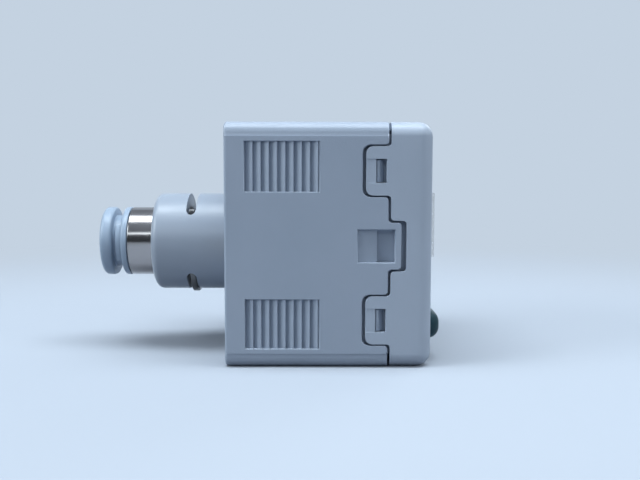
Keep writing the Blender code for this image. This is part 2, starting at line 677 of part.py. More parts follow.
def add_bosses(shell):
    """Corner bosses that carry the main board, bosses round the thread inserts, and the rear openings."""
    boss_end = MAIN_BOARD_X - SEAT_GAP
    boss_y = HALF_WIDTH - HOUSING_WALL
    boss_z = BODY_HEIGHT - HOUSING_WALL
    low = (REAR_X + REAR_WALL / 2, boss_y - CORNER_BOSS_WIDTH, boss_z - CORNER_BOSS_WIDTH)
    high = (boss_end, boss_y + HOUSING_WALL / 3, boss_z + HOUSING_WALL / 3)
    join(shell, mirrored(block("corner_bosses", low, high)))
    insert_hole = INSERT_RADIUS + FIT_CLEARANCE
    for place in insert_places():
        boss = rod("insert_boss", REAR_X + REAR_WALL / 2, REAR_X + INSERT_BOSS_LENGTH,
                   insert_hole + INSERT_BOSS_WALL, place)
        join(shell, boss)
    for place in insert_places():
        hole_end = REAR_X + INSERT_LENGTH + SEAT_GAP
        cut(shell, rod("insert_hole", REAR_X - OVERLAP, hole_end, insert_hole, place))
    for place in screw_places():
        start = boss_end - SCREW_LENGTH
        cut(shell, rod("board_screw_hole", start, boss_end + OVERLAP, SCREW_HOLE_RADIUS, place))
    cut(shell, rod("port_hole", REAR_X - OVERLAP, REAR_INNER_X + OVERLAP, PORT_HOLE_RADIUS, PORT_AXIS,
                   TURN_STEPS))
    opening = socket_outline(FIT_CLEARANCE)
    cut(shell, extruded("socket_opening", opening, REAR_X - OVERLAP, REAR_INNER_X + OVERLAP, "X"))


def tab_windows():
    """Cutter for the windows in the bezel's four tabs."""
    start = TAB_END_X + CATCH_WEB
    middle = MID_Z + TAB_OFFSET
    half = CATCH_WINDOW_HEIGHT / 2
    low = (start, HALF_WIDTH - BEZEL_WALL - OVERLAP, middle - half)
    high = (start + CATCH_WINDOW_LENGTH, HALF_WIDTH + OVERLAP, middle + half)
    return mirrored(block("tab_windows", low, high))


def tab_channels():
    """Cutter for the shallow channel across each tab, from its end to its window."""
    middle = MID_Z + TAB_OFFSET
    half = CATCH_WINDOW_HEIGHT / 2
    low = (TAB_END_X - OVERLAP, HALF_WIDTH - CHANNEL_DEPTH, middle - half)
    high = (TAB_END_X + CATCH_WEB + CATCH_WINDOW_LENGTH / 2, HALF_WIDTH + OVERLAP, middle + half)
    return mirrored(block("tab_channels", low, high))


def window_outline(grow):
    low = (-WINDOW_HALF_WIDTH - grow, WINDOW_LOW - grow)
    high = (WINDOW_HALF_WIDTH + grow, WINDOW_HIGH + grow)
    return round_corners(box_outline(low, high, WINDOW_RADIUS + grow))


def key_places():
    first = -(KEY_COUNT - 1) / 2
    return [Vector((0.0, (first + key) * KEY_PITCH, KEY_CENTRE_HEIGHT)) for key in range(KEY_COUNT)]


def key_corners(place, grow):
    """Lowest and highest corners, in Y and Z, of a key grown by a clearance."""
    half = Vector((KEY_WIDTH / 2 + grow, KEY_HEIGHT / 2 + grow))
    middle = Vector((place.y, place.z))
    return middle - half, middle + half


def front_bezel():
    rear = TAB_END_X - OVERLAP
    bezel = block("front_bezel", (rear, -HALF_WIDTH, 0.0), (FRONT_X, HALF_WIDTH, BODY_HEIGHT))
    long_edge, front_edge = runs_along(0), lies_at(0, 1)
    bevel(bezel, BEZEL_EDGE_RADIUS, lambda edge: long_edge(edge) or front_edge(edge))
    tab_half = TAB_SLOT_HEIGHT / 2 - TAB_SIDE_GAP
    notch_half = TONGUE_HEIGHT / 2 + TONGUE_SIDE_GAP
    behind = seam_outline(
        BEZEL_REAR_X, TAB_END_X, tab_half, TONGUE_X + TONGUE_END_GAP, notch_half, rear - OVERLAP
    )
    reach = HALF_WIDTH + OVERLAP
    face = (FACE_INNER_X - OVERLAP, FRONT_X + OVERLAP)
    cut(
        bezel,
        extruded("behind_seam", behind, -reach, reach, "Y"),
        inner_box("bezel_cavity", BEZEL_WALL, rear - OVERLAP, FACE_INNER_X, INNER_CORNER_RADIUS),
        tab_windows(),
        tab_channels(),
        extruded("window_opening", window_outline(0.0), *face, "X"),
    )
    for place in key_places():
        opening = round_corners(box_outline(*key_corners(place, KEY_GAP), KEY_CORNER_RADIUS + KEY_GAP))
        cut(bezel, extruded("key_opening", opening, *face, "X"))
    return finish(bezel, GREY_PLASTIC)


def display_window():
    """Clear window: a flange behind the bezel's face, a plate in its opening and a raised lens."""
    flange = extruded("display_window", window_outline(WINDOW_FLANGE), WINDOW_FLANGE_X,
                      WINDOW_FLANGE_X + WINDOW_FLANGE_THICKNESS, "X")
    plate_x = FRONT_X - WINDOW_RECESS
    plate = extruded("window_plate", window_outline(-WINDOW_GAP),
                     WINDOW_FLANGE_X + WINDOW_FLANGE_THICKNESS / 2, plate_x, "X")
    half_width = WINDOW_HALF_WIDTH - WINDOW_GAP - LENS_SIDE_INSET
    low = (plate_x - WINDOW_RECESS, -half_width, WINDOW_LOW + LENS_INSET)
    high = (FRONT_X + LENS_PROUD, half_width, WINDOW_HIGH - LENS_INSET)
    lens = bevel(block("raised_lens", low, high), LENS_RADIUS, lies_at(0, 1), 1)
    return finish(join(flange, plate, lens), CLEAR_PLASTIC)


def display_stack():
    """Light guide and LCD glass behind the window. The rear glass is taller, for its contact row."""
    half = WINDOW_HALF_WIDTH - LCD_INSET
    rear_x = LCD_FRONT_X - 2 * LCD_GLASS
    rear = block("lcd_panel", (rear_x, -half, WINDOW_LOW), (rear_x + LCD_GLASS, half, WINDOW_HIGH))
    front_low = (rear_x + LCD_GLASS / 2, -half + LCD_INSET, WINDOW_LOW + LCD_LEDGE)
    front = block("lcd_front_glass", front_low, (LCD_FRONT_X, half - LCD_INSET, WINDOW_HIGH - LCD_INSET))
    finish(join(rear, front), DARK_GLASS)
    guide_low = (LIGHT_GUIDE_X, -half, WINDOW_LOW)
    guide_high = (LIGHT_GUIDE_X + LIGHT_GUIDE_THICKNESS, half, WINDOW_HIGH)
    finish(rounded_block("light_guide", guide_low, guide_high, INNER_CORNER_RADIUS), WHITE_PLASTIC)


def key(name, place):
    """A soft key with a domed front, a flange behind the bezel and a stem to its switch."""
    low, high = key_corners(place, 0.0)
    cap = block(name, (KEY_FLANGE_X, *low), (FRONT_X + KEY_PROUD, *high))
    bevel(cap, KEY_CORNER_RADIUS, runs_along(0), CORNER_SEGMENTS)
    bevel(cap, KEY_CORNER_RADIUS - KEY_DOME_INSET, lies_at(0, 1), CORNER_SEGMENTS)
    low, high = key_corners(place, KEY_FLANGE)
    flange = round_corners(box_outline(low, high, KEY_CORNER_RADIUS))
    flange_end = KEY_FLANGE_X + KEY_FLANGE_THICKNESS
    stem_end = KEY_FLANGE_X + KEY_FLANGE_THICKNESS / 2
    join(
        cap,
        extruded("key_flange", flange, KEY_FLANGE_X, flange_end, "X"),
        rod("key_stem", KEY_STEM_X, stem_end, KEY_STEM_RADIUS, place),
    )
    return finish(cap, KEY_RUBBER)


def push_switch(name, place):
    """A small board switch with a round plunger, under one key."""
    low, high = key_corners(place, -SWITCH_INSET)
    body_end = SWITCH_X + SWITCH_DEPTH
    body = rounded_block(name, (SWITCH_X, *low), (body_end, *high), INNER_CORNER_RADIUS / 2)
    plunger_start = SWITCH_X + SWITCH_DEPTH / 2
    plunger = rod("plunger", plunger_start, body_end + PLUNGER_LENGTH, PLUNGER_RADIUS, place)
    return finish(join(body, plunger), DARK_PLASTIC)


def board_outline():
    low = (BOARD_INSET - HALF_WIDTH, BOARD_INSET)
    high = (HALF_WIDTH - BOARD_INSET, BODY_HEIGHT - BOARD_INSET)
    return round_corners(box_outline(low, high, INNER_CORNER_RADIUS / 2))


def boards():
    display = extruded("display_board", board_outline(), DISPLAY_BOARD_X,
                       DISPLAY_BOARD_X + DISPLAY_BOARD_THICKNESS, "X")
    finish(display, BOARD_GREEN)
    main = extruded("main_board", board_outline(), MAIN_BOARD_X, MAIN_BOARD_FRONT_X, "X")
    reach = (MAIN_BOARD_X - OVERLAP, MAIN_BOARD_FRONT_X + OVERLAP)
    for place in screw_places():
        cut(main, rod("board_hole", *reach, SCREW_HOLE_RADIUS, place))
    for place in pin_places():
        cut(main, rod("pin_hole", *reach, PIN_WIDTH, place, FINE_HOLE_STEPS))
    finish(main, BOARD_GREEN)


def board_holder():
    """Open frame between the two boards, with a window in each side."""
    start, end = MAIN_BOARD_FRONT_X + SEAT_GAP, DISPLAY_BOARD_X - SEAT_GAP
    frame = inner_box("board_holder", BOARD_INSET, start, end, INNER_CORNER_RADIUS)
    hollow = inner_box("holder_hollow", BOARD_INSET + HOLDER_WALL, start - OVERLAP, end + OVERLAP,
                       INNER_CORNER_RADIUS / 2)
    low = (start + HOLDER_WINDOW_MARGIN, -HALF_WIDTH, MID_Z - HOLDER_WINDOW_HEIGHT / 2)
    high = (end - HOLDER_WINDOW_MARGIN, HALF_WIDTH, MID_Z + HOLDER_WINDOW_HEIGHT / 2)
    return finish(cut(frame, hollow, block("holder_windows", low, high)), WHITE_PLASTIC)


def board_link():
    """Plug on the main board and socket on the display board, which carry the signals between them."""
    half_width, half_height = LINK_WIDTH / 2, LINK_HEIGHT / 2
    centre = LINK_CENTRE_HEIGHT
    start, end = MAIN_BOARD_FRONT_X + LCD_GAP, DISPLAY_BOARD_X - LCD_GAP
    split = start + LINK_PLUG_LENGTH
    base = block("link_plug", (start, -half_width, centre - half_height),
                 (start + LINK_PLUG_LENGTH / 2, half_width, centre + half_height))
    inner_y, inner_z = half_width - LINK_WALL - SEAT_GAP, half_height - LINK_WALL - SEAT_GAP / 2
    blade = block("link_blade", (start + LINK_WALL, -inner_y, centre - inner_z),
                  (split, inner_y, centre + inner_z))
    finish(join(base, blade), DARK_PLASTIC)
    socket_start = start + LINK_PLUG_LENGTH / 2 + SEAT_GAP
    socket = block("link_socket", (socket_start, -half_width, centre - half_height),
                   (end, half_width, centre + half_height))
    hollow_y, hollow_z = half_width - LINK_WALL, half_height - LINK_WALL
    hollow = block("link_hollow", (socket_start - OVERLAP, -hollow_y, centre - hollow_z),
                   (split + SEAT_GAP, hollow_y, centre + hollow_z))
    finish(cut(socket, hollow), DARK_PLASTIC)


def board_screw(name, place):
    """Slotted pan-head screw through the main board into a corner boss."""
    head_x = MAIN_BOARD_FRONT_X + FIT_CLEARANCE
    head_end = head_x + SCREW_HEAD_HEIGHT
    tip = MAIN_BOARD_X - SCREW_LENGTH
    profile = [
        (head_end, 0.0), (head_end, SCREW_CROWN_RADIUS),
        (head_end - SCREW_HEAD_HEIGHT / 3, SCREW_HEAD_RADIUS),
        (head_x, SCREW_HEAD_RADIUS), (head_x, SCREW_SHANK_RADIUS),
        (tip + SCREW_SHANK_RADIUS / 2, SCREW_SHANK_RADIUS), (tip, SCREW_SHANK_RADIUS / 2), (tip, 0.0),
    ]
    screw = turned(name, profile, place, closed=False, steps=SMALL_TURN_STEPS)
    reach = SCREW_HEAD_RADIUS + SCREW_SLOT
    low = (head_end - SCREW_HEAD_HEIGHT / 2, place.y - reach, place.z - SCREW_SLOT / 2)
    high = (head_end + OVERLAP, place.y + reach, place.z + SCREW_SLOT / 2)
    return finish(cut(screw, block("driver_slot", low, high)), STEEL)


def pressure_sensor():
    """Sensor capsule against the port, and the rubber ring that seals it."""
    base_end = SENSOR_X + SENSOR_BASE
    end = base_end + SENSOR_CAP
    profile = [
        (end, 0.0), (end, SENSOR_CAP_RADIUS - SENSOR_EDGE), (end - SENSOR_EDGE, SENSOR_CAP_RADIUS),
        (base_end, SENSOR_CAP_RADIUS), (base_end, SENSOR_RADIUS),
        (SENSOR_X, SENSOR_RADIUS), (SENSOR_X, 0.0),
    ]
    capsule = turned("pressure_sensor", profile, PORT_AXIS, closed=False, steps=SMALL_TURN_STEPS)
    finish(capsule, STEEL)
    ring_x = SENSOR_X - FIT_CLEARANCE - RING_SECTION_RADIUS
    seal_ring("sensor_seal_ring", ring_x, SENSOR_RING_RADIUS, RING_SECTION_RADIUS)


def seal_ring(name, centre_x, ring_radius, section_radius):
    """A round rubber ring: a circle turned about the port's axis."""
    profile = []
    for step in range(RING_SECTION_STEPS):
        angle = 2 * math.pi * step / RING_SECTION_STEPS
        x = centre_x + section_radius * math.cos(angle)
        profile.append((x, ring_radius + section_radius * math.sin(angle)))
    return finish(turned(name, profile, PORT_AXIS, steps=SMALL_TURN_STEPS), SEAL_RUBBER)


def clip_slot_outline():
    """Outline, in X and Y, of the slot that the clip is pushed through, with rounded corners."""
    low = (CLIP_SLOT_X, -CLIP_SLOT_HALF_SPAN)
    high = (CLIP_SLOT_END_X, CLIP_SLOT_HALF_SPAN)
    return round_corners(box_outline(low, high, CLIP_SLOT_RADIUS))


def port_adaptor():
    """Plastic port: a turned barrel through the rear wall, a square flange inside and the clip's slot."""
    taper_x = ADAPTOR_END_X + ADAPTOR_TAPER
    barrel = turned(
        "port_adaptor",
        [
            (PORT_FRONT_X, 0.0), (PORT_FRONT_X, ADAPTOR_RADIUS - ADAPTOR_EDGE),
            (PORT_FRONT_X - ADAPTOR_EDGE, ADAPTOR_RADIUS), (taper_x + ADAPTOR_EDGE, ADAPTOR_RADIUS),
            (taper_x, ADAPTOR_RADIUS - ADAPTOR_EDGE), (ADAPTOR_END_X, ADAPTOR_BORE_RADIUS + ADAPTOR_RIM),
            (ADAPTOR_END_X, 0.0),
        ],
        PORT_AXIS,
        closed=False,
    )
    reach = PORT_HOLE_RADIUS + PORT_FLANGE_LEDGE
    corners = box_outline((-reach, PORT_FLANGE_LOW), (reach, PORT_HEIGHT + reach), PORT_FLANGE_RADIUS)
    flange_end = PORT_FRONT_X - ADAPTOR_EDGE
    flange = extruded("port_flange", round_corners(corners), PORT_FLANGE_X, flange_end, "X")
    slot_reach = ADAPTOR_RADIUS + OVERLAP
    groove = RING_SECTION_RADIUS + FIT_CLEARANCE
    groove_x = SENSOR_X - 2 * groove
    ring_groove = turned(
        "sensor_ring_groove",
        [
            (PORT_FRONT_X + OVERLAP, SENSOR_RING_RADIUS + groove), (groove_x, SENSOR_RING_RADIUS + groove),
            (groove_x, SENSOR_RING_RADIUS - groove), (PORT_FRONT_X + OVERLAP, SENSOR_RING_RADIUS - groove),
        ],
        PORT_AXIS,
    )
    cut(
        join(barrel, flange),
        rod("port_bore", ADAPTOR_END_X - OVERLAP, ADAPTOR_FLOOR_X, ADAPTOR_BORE_RADIUS, PORT_AXIS,
            TURN_STEPS),
        rod("passage", ADAPTOR_FLOOR_X - OVERLAP, PORT_FRONT_X + OVERLAP, PASSAGE_RADIUS, PORT_AXIS),
        extruded("clip_slot", clip_slot_outline(), PORT_HEIGHT - slot_reach, PORT_HEIGHT + slot_reach, "Z"),
        ring_groove,
    )
    return finish(barrel, GREY_PLASTIC)


def retaining_clip():
    """Flat steel fork, pushed up through the slot: two legs in the sleeve's groove, a round bow below.

    The bow's two arcs stop just short of each other, so that they don't share a point.
    """
    inner = SLEEVE_GROOVE_RADIUS + CLIP_PLAY
    outer = CLIP_SLOT_HALF_SPAN - 2 * CLIP_PLAY
    tip_z = PORT_HEIGHT + ADAPTOR_RADIUS - CLIP_TIP_RECESS
    bow_z = PORT_HEIGHT - ADAPTOR_RADIUS - CLIP_PROUD
    outline = round_corners([
        (-inner, tip_z, CLIP_TIP_RADIUS), (-inner, PORT_HEIGHT, 0), (inner, PORT_HEIGHT, 0),
        (inner, tip_z, CLIP_TIP_RADIUS), (outer, tip_z, CLIP_TIP_RADIUS),
        (outer, bow_z, outer - MERGE), (-outer, bow_z, outer - MERGE), (-outer, tip_z, CLIP_TIP_RADIUS),
    ], TURN_STEPS // 4)
    end = CLIP_SLOT_END_X - CLIP_PLAY
    clip = extruded("retaining_clip", outline, end - CLIP_THICKNESS, end, "X")
    reach = (CLIP_SLOT_X - OVERLAP, CLIP_SLOT_END_X + OVERLAP)
    hollow = rod("clip_hollow", *reach, inner, PORT_AXIS, TURN_STEPS)
    return finish(cut(clip, hollow), STEEL)


def fitting_sleeve():
    """Turned metal sleeve with grooves for the clip and the seal ring, and a stop for the tube's end."""
    stop_radius = TUBE_BORE_RADIUS - SLEEVE_END
    ring_end = RING_GROOVE_X + RING_GROOVE_WIDTH
    profile = [
        (SLEEVE_END_X, SLEEVE_RADIUS - SLEEVE_EDGE), (SLEEVE_END_X - SLEEVE_EDGE, SLEEVE_RADIUS),
        (ring_end, SLEEVE_RADIUS), (ring_end, SLEEVE_GROOVE_RADIUS),
        (RING_GROOVE_X, SLEEVE_GROOVE_RADIUS), (RING_GROOVE_X, SLEEVE_RADIUS),
        (CLIP_SLOT_END_X, SLEEVE_RADIUS), (CLIP_SLOT_END_X, SLEEVE_GROOVE_RADIUS),
        (CLIP_SLOT_X, SLEEVE_GROOVE_RADIUS), (CLIP_SLOT_X, SLEEVE_RADIUS),
        (SLEEVE_MOUTH_X + SLEEVE_EDGE, SLEEVE_RADIUS), (SLEEVE_MOUTH_X, SLEEVE_RADIUS - SLEEVE_EDGE),
        (SLEEVE_MOUTH_X, SLEEVE_BORE_RADIUS), (SHOULDER_X, SLEEVE_BORE_RADIUS),
        (SHOULDER_X, TUBE_BORE_RADIUS), (SLEEVE_END_X - SLEEVE_END, TUBE_BORE_RADIUS),
        (SLEEVE_END_X - SLEEVE_END, stop_radius), (SLEEVE_END_X, stop_radius),
    ]
    finish(turned("fitting_sleeve", profile, PORT_AXIS), NICKEL)
    section_radius = (ADAPTOR_BORE_RADIUS - SLEEVE_GROOVE_RADIUS - FIT_CLEARANCE) / 2
    ring_radius = (ADAPTOR_BORE_RADIUS + SLEEVE_GROOVE_RADIUS) / 2
    seal_ring("sleeve_seal_ring", RING_GROOVE_X + RING_GROOVE_WIDTH / 2, ring_radius, section_radius)


def rib_outline(radius, inner, play):
    """Outlines, in Y and Z, of the two broad ribs on the button's neck, grown by a clearance."""
    half = math.radians(BUTTON_RIB_ANGLE / 2) + play / radius
    outlines = []
    for facing in (0.0, math.pi):
        arc = [facing - half + 2 * half * step / ROUND_SEGMENTS for step in range(ROUND_SEGMENTS + 1)]
        outer = [Vector((math.cos(angle), math.sin(angle))) * (radius + play) for angle in arc]
        back = [Vector((math.cos(angle), math.sin(angle))) * inner for angle in reversed(arc)]
        outlines.append([point + PORT_AXIS.yz for point in outer + back])
    return outlines


def tube_guide():
    """Plastic collar at the sleeve's mouth. Its two slots take the button's ribs."""
    profile = [
        (GUIDE_END_X, GUIDE_RADIUS), (COLLAR_INNER_X, GUIDE_RADIUS), (COLLAR_INNER_X, SLEEVE_RADIUS),
        (COLLAR_X + SLEEVE_EDGE, SLEEVE_RADIUS), (COLLAR_X, SLEEVE_RADIUS - SLEEVE_EDGE),
        (COLLAR_X, GUIDE_BORE_RADIUS), (GUIDE_END_X, GUIDE_BORE_RADIUS),
    ]
    guide = turned("tube_guide", profile, PORT_AXIS)
    slots = rib_outline(BUTTON_RIB_RADIUS, TUBE_BORE_RADIUS, BUTTON_CLEARANCE)
    for index, slot in enumerate(slots):
        cut(guide, extruded(f"rib_slot_{index}", slot, COLLAR_X - OVERLAP, COLLAR_INNER_X + MERGE, "X"))
    return finish(guide, WHITE_PLASTIC)


def release_button():
    """Push-in release button: a rounded flange, a thin tube inwards and two broad ribs on its neck."""
    radius = SLEEVE_RADIUS
    profile = [(BUTTON_TIP_X, BUTTON_RADIUS), (BUTTON_INNER_X, BUTTON_RADIUS)]
    profile.append((BUTTON_INNER_X, radius - SLEEVE_EDGE))
    profile.append((BUTTON_INNER_X - SLEEVE_EDGE, radius))
    for step in range(ROUND_SEGMENTS + 1):
        angle = math.pi / 2 * step / ROUND_SEGMENTS
        profile.append((
            BUTTON_END_X + BUTTON_RIM_RADIUS * (1 - math.sin(angle)),
            radius - BUTTON_RIM_RADIUS * (1 - math.cos(angle)),
        ))
    profile.append((BUTTON_END_X, TUBE_BORE_RADIUS + BUTTON_LEAD_IN))
    profile.append((BUTTON_END_X + BUTTON_LEAD_IN, TUBE_BORE_RADIUS))
    profile.append((BUTTON_TIP_X, TUBE_BORE_RADIUS))
    button = turned("release_button", profile, PORT_AXIS)
    inner = (TUBE_BORE_RADIUS + BUTTON_RADIUS) / 2
    rib_end = COLLAR_INNER_X - BUTTON_TRAVEL - FIT_CLEARANCE
    for index, rib in enumerate(rib_outline(BUTTON_RIB_RADIUS, inner, 0.0)):
        join(button, extruded(f"button_rib_{index}", rib, BUTTON_INNER_X + BUTTON_RIB_GAP, rib_end, "X"))
    return finish(button, WHITE_PLASTIC)


def collet():
    """Spring-steel collet with slit jaws that turn in to grip the tube."""
    end = COLLET_X + COLLET_LENGTH
    grip = TUBE_BORE_RADIUS + COLLET_WALL / 4
    profile = [
        (end, grip + COLLET_WALL), (COLLET_CONE_X + COLLET_WALL, GUIDE_RADIUS), (COLLET_X, GUIDE_RADIUS),
        (COLLET_X, GUIDE_RADIUS - COLLET_WALL), (COLLET_CONE_X, GUIDE_RADIUS - COLLET_WALL), (end, grip),
    ]
    ring = turned("tube_collet", profile, PORT_AXIS, steps=4 * COLLET_SLITS)
    half = COLLET_SLIT_WIDTH / 2
    for slit in range(COLLET_SLITS // 2):
        low = (BUTTON_TIP_X, -SLEEVE_RADIUS, -half)
        cutter = block("collet_slit", low, (end + OVERLAP, SLEEVE_RADIUS, half))
        cutter.location += PORT_AXIS
        cutter.rotation_euler.x = math.pi * (slit + 0.5) / (COLLET_SLITS // 2)
        cut(ring, cutter)
    return finish(ring, STEEL)


def tube_seal():
    """Rubber lip seal between the collet and the sleeve's shoulder."""
    end = SEAL_X + SEAL_LENGTH
    lip = TUBE_DIAMETER / 2 - SEAL_SQUEEZE
    profile = [
        (end, GUIDE_RADIUS), (SEAL_X, GUIDE_RADIUS), (SEAL_X, lip + GUIDE_WALL),
        (SEAL_X + SEAL_LENGTH / 3, lip), (end, lip),
    ]
    return finish(turned("tube_seal", profile, PORT_AXIS, steps=SMALL_TURN_STEPS), SEAL_RUBBER)


def thread_insert(name, place):
    """Brass insert with a threaded bore, set flush in the rear face for the bracket's screws."""
    start = REAR_X + FIT_CLEARANCE / 2
    end = start + INSERT_LENGTH
    profile = [
        (end, INSERT_RADIUS), (start, INSERT_RADIUS), (start, INSERT_BORE_RADIUS + SLEEVE_EDGE),
        (start + SLEEVE_EDGE, INSERT_BORE_RADIUS), (end, INSERT_BORE_RADIUS),
    ]
    return finish(turned(name, profile, place, steps=SMALL_TURN_STEPS), BRASS)


def pin_places():
    first = -(PIN_COUNT - 1) / 2
    return [Vector((0.0, (first + pin) * PIN_PITCH, SOCKET_CENTRE_HEIGHT)) for pin in range(PIN_COUNT)]


def lead_socket():
    """Recessed socket for the lead's plug, with its contact pins through to the main board."""
    end = REAR_X + SOCKET_LENGTH
    shell = extruded("lead_socket", socket_outline(0.0), REAR_X, end, "X")
    hollow = socket_outline(0.0, SOCKET_WIDTH - 2 * SOCKET_WALL, SOCKET_HEIGHT - 2 * SOCKET_WALL)
    floor = end - SOCKET_FLOOR
    cut(shell, extruded("socket_hollow", hollow, REAR_X - OVERLAP, floor, "X"))
    top = SOCKET_CENTRE_HEIGHT + SOCKET_HEIGHT / 2
    for side in (-1, 1):
        middle = side * PIN_PITCH
        low = (REAR_X - OVERLAP, middle - SOCKET_KEYWAY_WIDTH / 2, SOCKET_CENTRE_HEIGHT)
        high = (floor - SOCKET_FLOOR, middle + SOCKET_KEYWAY_WIDTH / 2, top - SOCKET_WALL / 2)
        cut(shell, block("socket_keyway", low, high))
    hole = PIN_WIDTH / 2 + FIT_CLEARANCE
    for place in pin_places():
        low = (floor - OVERLAP, place.y - hole, place.z - hole)
        cut(shell, block("contact_hole", low, (end + OVERLAP, place.y + hole, place.z + hole)))
    finish(shell, DARK_PLASTIC)
    half = PIN_WIDTH / 2
    for number, place in enumerate(pin_places(), 1):
        low = (PIN_START_X, place.y - half, place.z - half)
        pin = block(f"contact_pin_{number}", low, (PIN_END_X, place.y + half, place.z + half))
        finish(bevel(pin, half / 2, lies_at(0, -1), 1), GOLD)


def hang_on_axis(obj, point):
    """Parents a moving piece to an empty on its joint's axis, and leaves the piece where it is."""
    axis = bpy.data.objects.new(f"{obj.name}_axis", None)
    axis.location = point
    PARTS.objects.link(axis)
    bpy.context.view_layer.update()
    obj.parent = axis
    obj.matrix_parent_inverse = axis.matrix_world.inverted()


def build():
    rear_housing()
    front_bezel()
    display_window()
    display_stack()
    for label, place in zip(("down", "set", "up"), key_places()):
        front = Vector((FRONT_X, place.y, place.z))
        hang_on_axis(key(f"key_{label}", place), front)
        push_switch(f"push_switch_{label}", place)
    boards()
    board_holder()
    board_link()
    for label, place in zip(("lower", "upper"), screw_places()):
        board_screw(f"board_screw_{label}", place)
    pressure_sensor()
    port_adaptor()
    retaining_clip()
    fitting_sleeve()
    tube_guide()
    hang_on_axis(release_button(), Vector((BUTTON_END_X, 0.0, PORT_HEIGHT)))
    collet()
    tube_seal()
    for label, place in zip(("near", "far"), insert_places()):
        thread_insert(f"thread_insert_{label}", place)
    lead_socket()


build()
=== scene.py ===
# %% [markdown]
# # A digital pressure switch, dressed over its CAD model
#
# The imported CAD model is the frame: it sets every size, and this script gives it the looks of the real
# thing. Nothing here moves a CAD part. Where a CAD solid is good enough it only gets a better finish,
# and where more detail shows, a finer piece stands in for it and rides on the same moving body.

# %% The frame, its bodies and its box
import math

import bmesh
import bpy
from mathutils import Matrix, Vector


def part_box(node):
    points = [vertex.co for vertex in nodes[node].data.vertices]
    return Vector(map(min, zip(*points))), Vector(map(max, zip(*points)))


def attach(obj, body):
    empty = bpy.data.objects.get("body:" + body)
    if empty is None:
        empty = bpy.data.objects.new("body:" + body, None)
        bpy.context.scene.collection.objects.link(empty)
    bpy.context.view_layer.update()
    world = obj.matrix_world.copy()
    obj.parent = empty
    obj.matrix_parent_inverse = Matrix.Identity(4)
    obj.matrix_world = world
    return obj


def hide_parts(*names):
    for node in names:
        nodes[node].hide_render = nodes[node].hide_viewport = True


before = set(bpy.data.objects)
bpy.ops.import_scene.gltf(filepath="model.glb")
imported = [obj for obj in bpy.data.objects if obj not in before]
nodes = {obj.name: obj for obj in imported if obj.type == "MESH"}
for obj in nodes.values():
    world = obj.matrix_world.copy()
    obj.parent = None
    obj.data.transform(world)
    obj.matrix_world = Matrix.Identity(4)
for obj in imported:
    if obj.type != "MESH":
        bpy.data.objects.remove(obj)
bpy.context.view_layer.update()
MM = 0.001

# %% [markdown]
# ## Places that many pieces share
#
# All that is turned on the tube fitting shares one axis, along X. Its height comes from the CAD sleeve's
# own box, so that it is never typed twice. The casing's rear, side and top come from the rear housing.

# %% Axis of the fitting, faces of the casing
def box_mm(node):
    """The low and high corners of a CAD node's box, in mm."""
    return [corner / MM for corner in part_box(node)]


sleeve_low, sleeve_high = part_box("fitting_sleeve")
port_height = (sleeve_low.z + sleeve_high.z) / 2
port_mm = port_height / MM
housing_low, housing_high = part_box("rear_housing")
rear_x, side_y, top_z = housing_low.x, housing_high.y, housing_high.z
print("port axis height", round(port_mm, 2), "rear", round(rear_x / MM, 2),
      "side", round(side_y / MM, 2), "top", round(top_z / MM, 2))

# %% [markdown]
# ## Colours and nodes
#
# A colour is written as people read it, an sRGB hex value, and Blender's shaders want linear light. One
# function turns one into the other. A second one adds a node with its settings and its links, so that
# each material below reads as a short list of what makes the surface look as it does.

# %% Helpers for colour and nodes
def linear(hex_colour):
    """Linear red, green, blue and alpha of an sRGB colour such as '8fa3b7'."""
    parts = [int(hex_colour[place:place + 2], 16) / 255 for place in (0, 2, 4)]
    return (*[v / 12.92 if v <= 0.04045 else ((v + 0.055) / 1.055) ** 2.4 for v in parts], 1.0)


def add(tree, kind, inputs=None, **settings):
    """Adds one shader node. Each input is a constant or the output socket that feeds it."""
    made = tree.nodes.new("ShaderNode" + kind)
    for name, value in settings.items():
        setattr(made, name, value)
    for name, value in (inputs or {}).items():
        if isinstance(value, bpy.types.NodeSocket):
            tree.links.new(value, made.inputs[name])
        else:
            made.inputs[name].default_value = value
    return made


def new_finish(name, **constants):
    """An empty finish: its material, node tree, shader and Object coordinates."""
    material = bpy.data.materials.new(name)
    material.use_nodes = True
    tree = material.node_tree
    shader = tree.nodes["Principled BSDF"]
    for socket, value in constants.items():
        shader.inputs[socket.replace("_", " ")].default_value = value
    place = add(tree, "TexCoord").outputs["Object"]
    return material, tree, shader, place


def size(mm):
    """Noise scale for features that are about this many millimetres across, in Object coordinates."""
    return 1 / (mm * MM)


# %% [markdown]
# ## Moulded plastics
#
# The casing is an injection-moulded blend of polycarbonate and PBT in a pale bluish grey. The mould was
# spark eroded, so the surface has a very fine, even grain that spreads highlights into a soft sheen.
# The real grain is finer than 0.1 mm, less than a pixel of the picture, so it is drawn at 0.22 mm, the
# finest that still shows. A drift between two close tones, over about 14 mm, keeps large faces from
# looking like flat paint, and the roughness wanders over 3 mm, as on a part that hands have touched.
#
# The same recipe serves the smoother acetal of the fitting, the nylons inside and the unlit display.
# The colours were matched to the real object under the slightly cool lamps at the end of this script.

# %% Finish: moulded plastics
tone_drift_mm, handling_mm = 14, 3


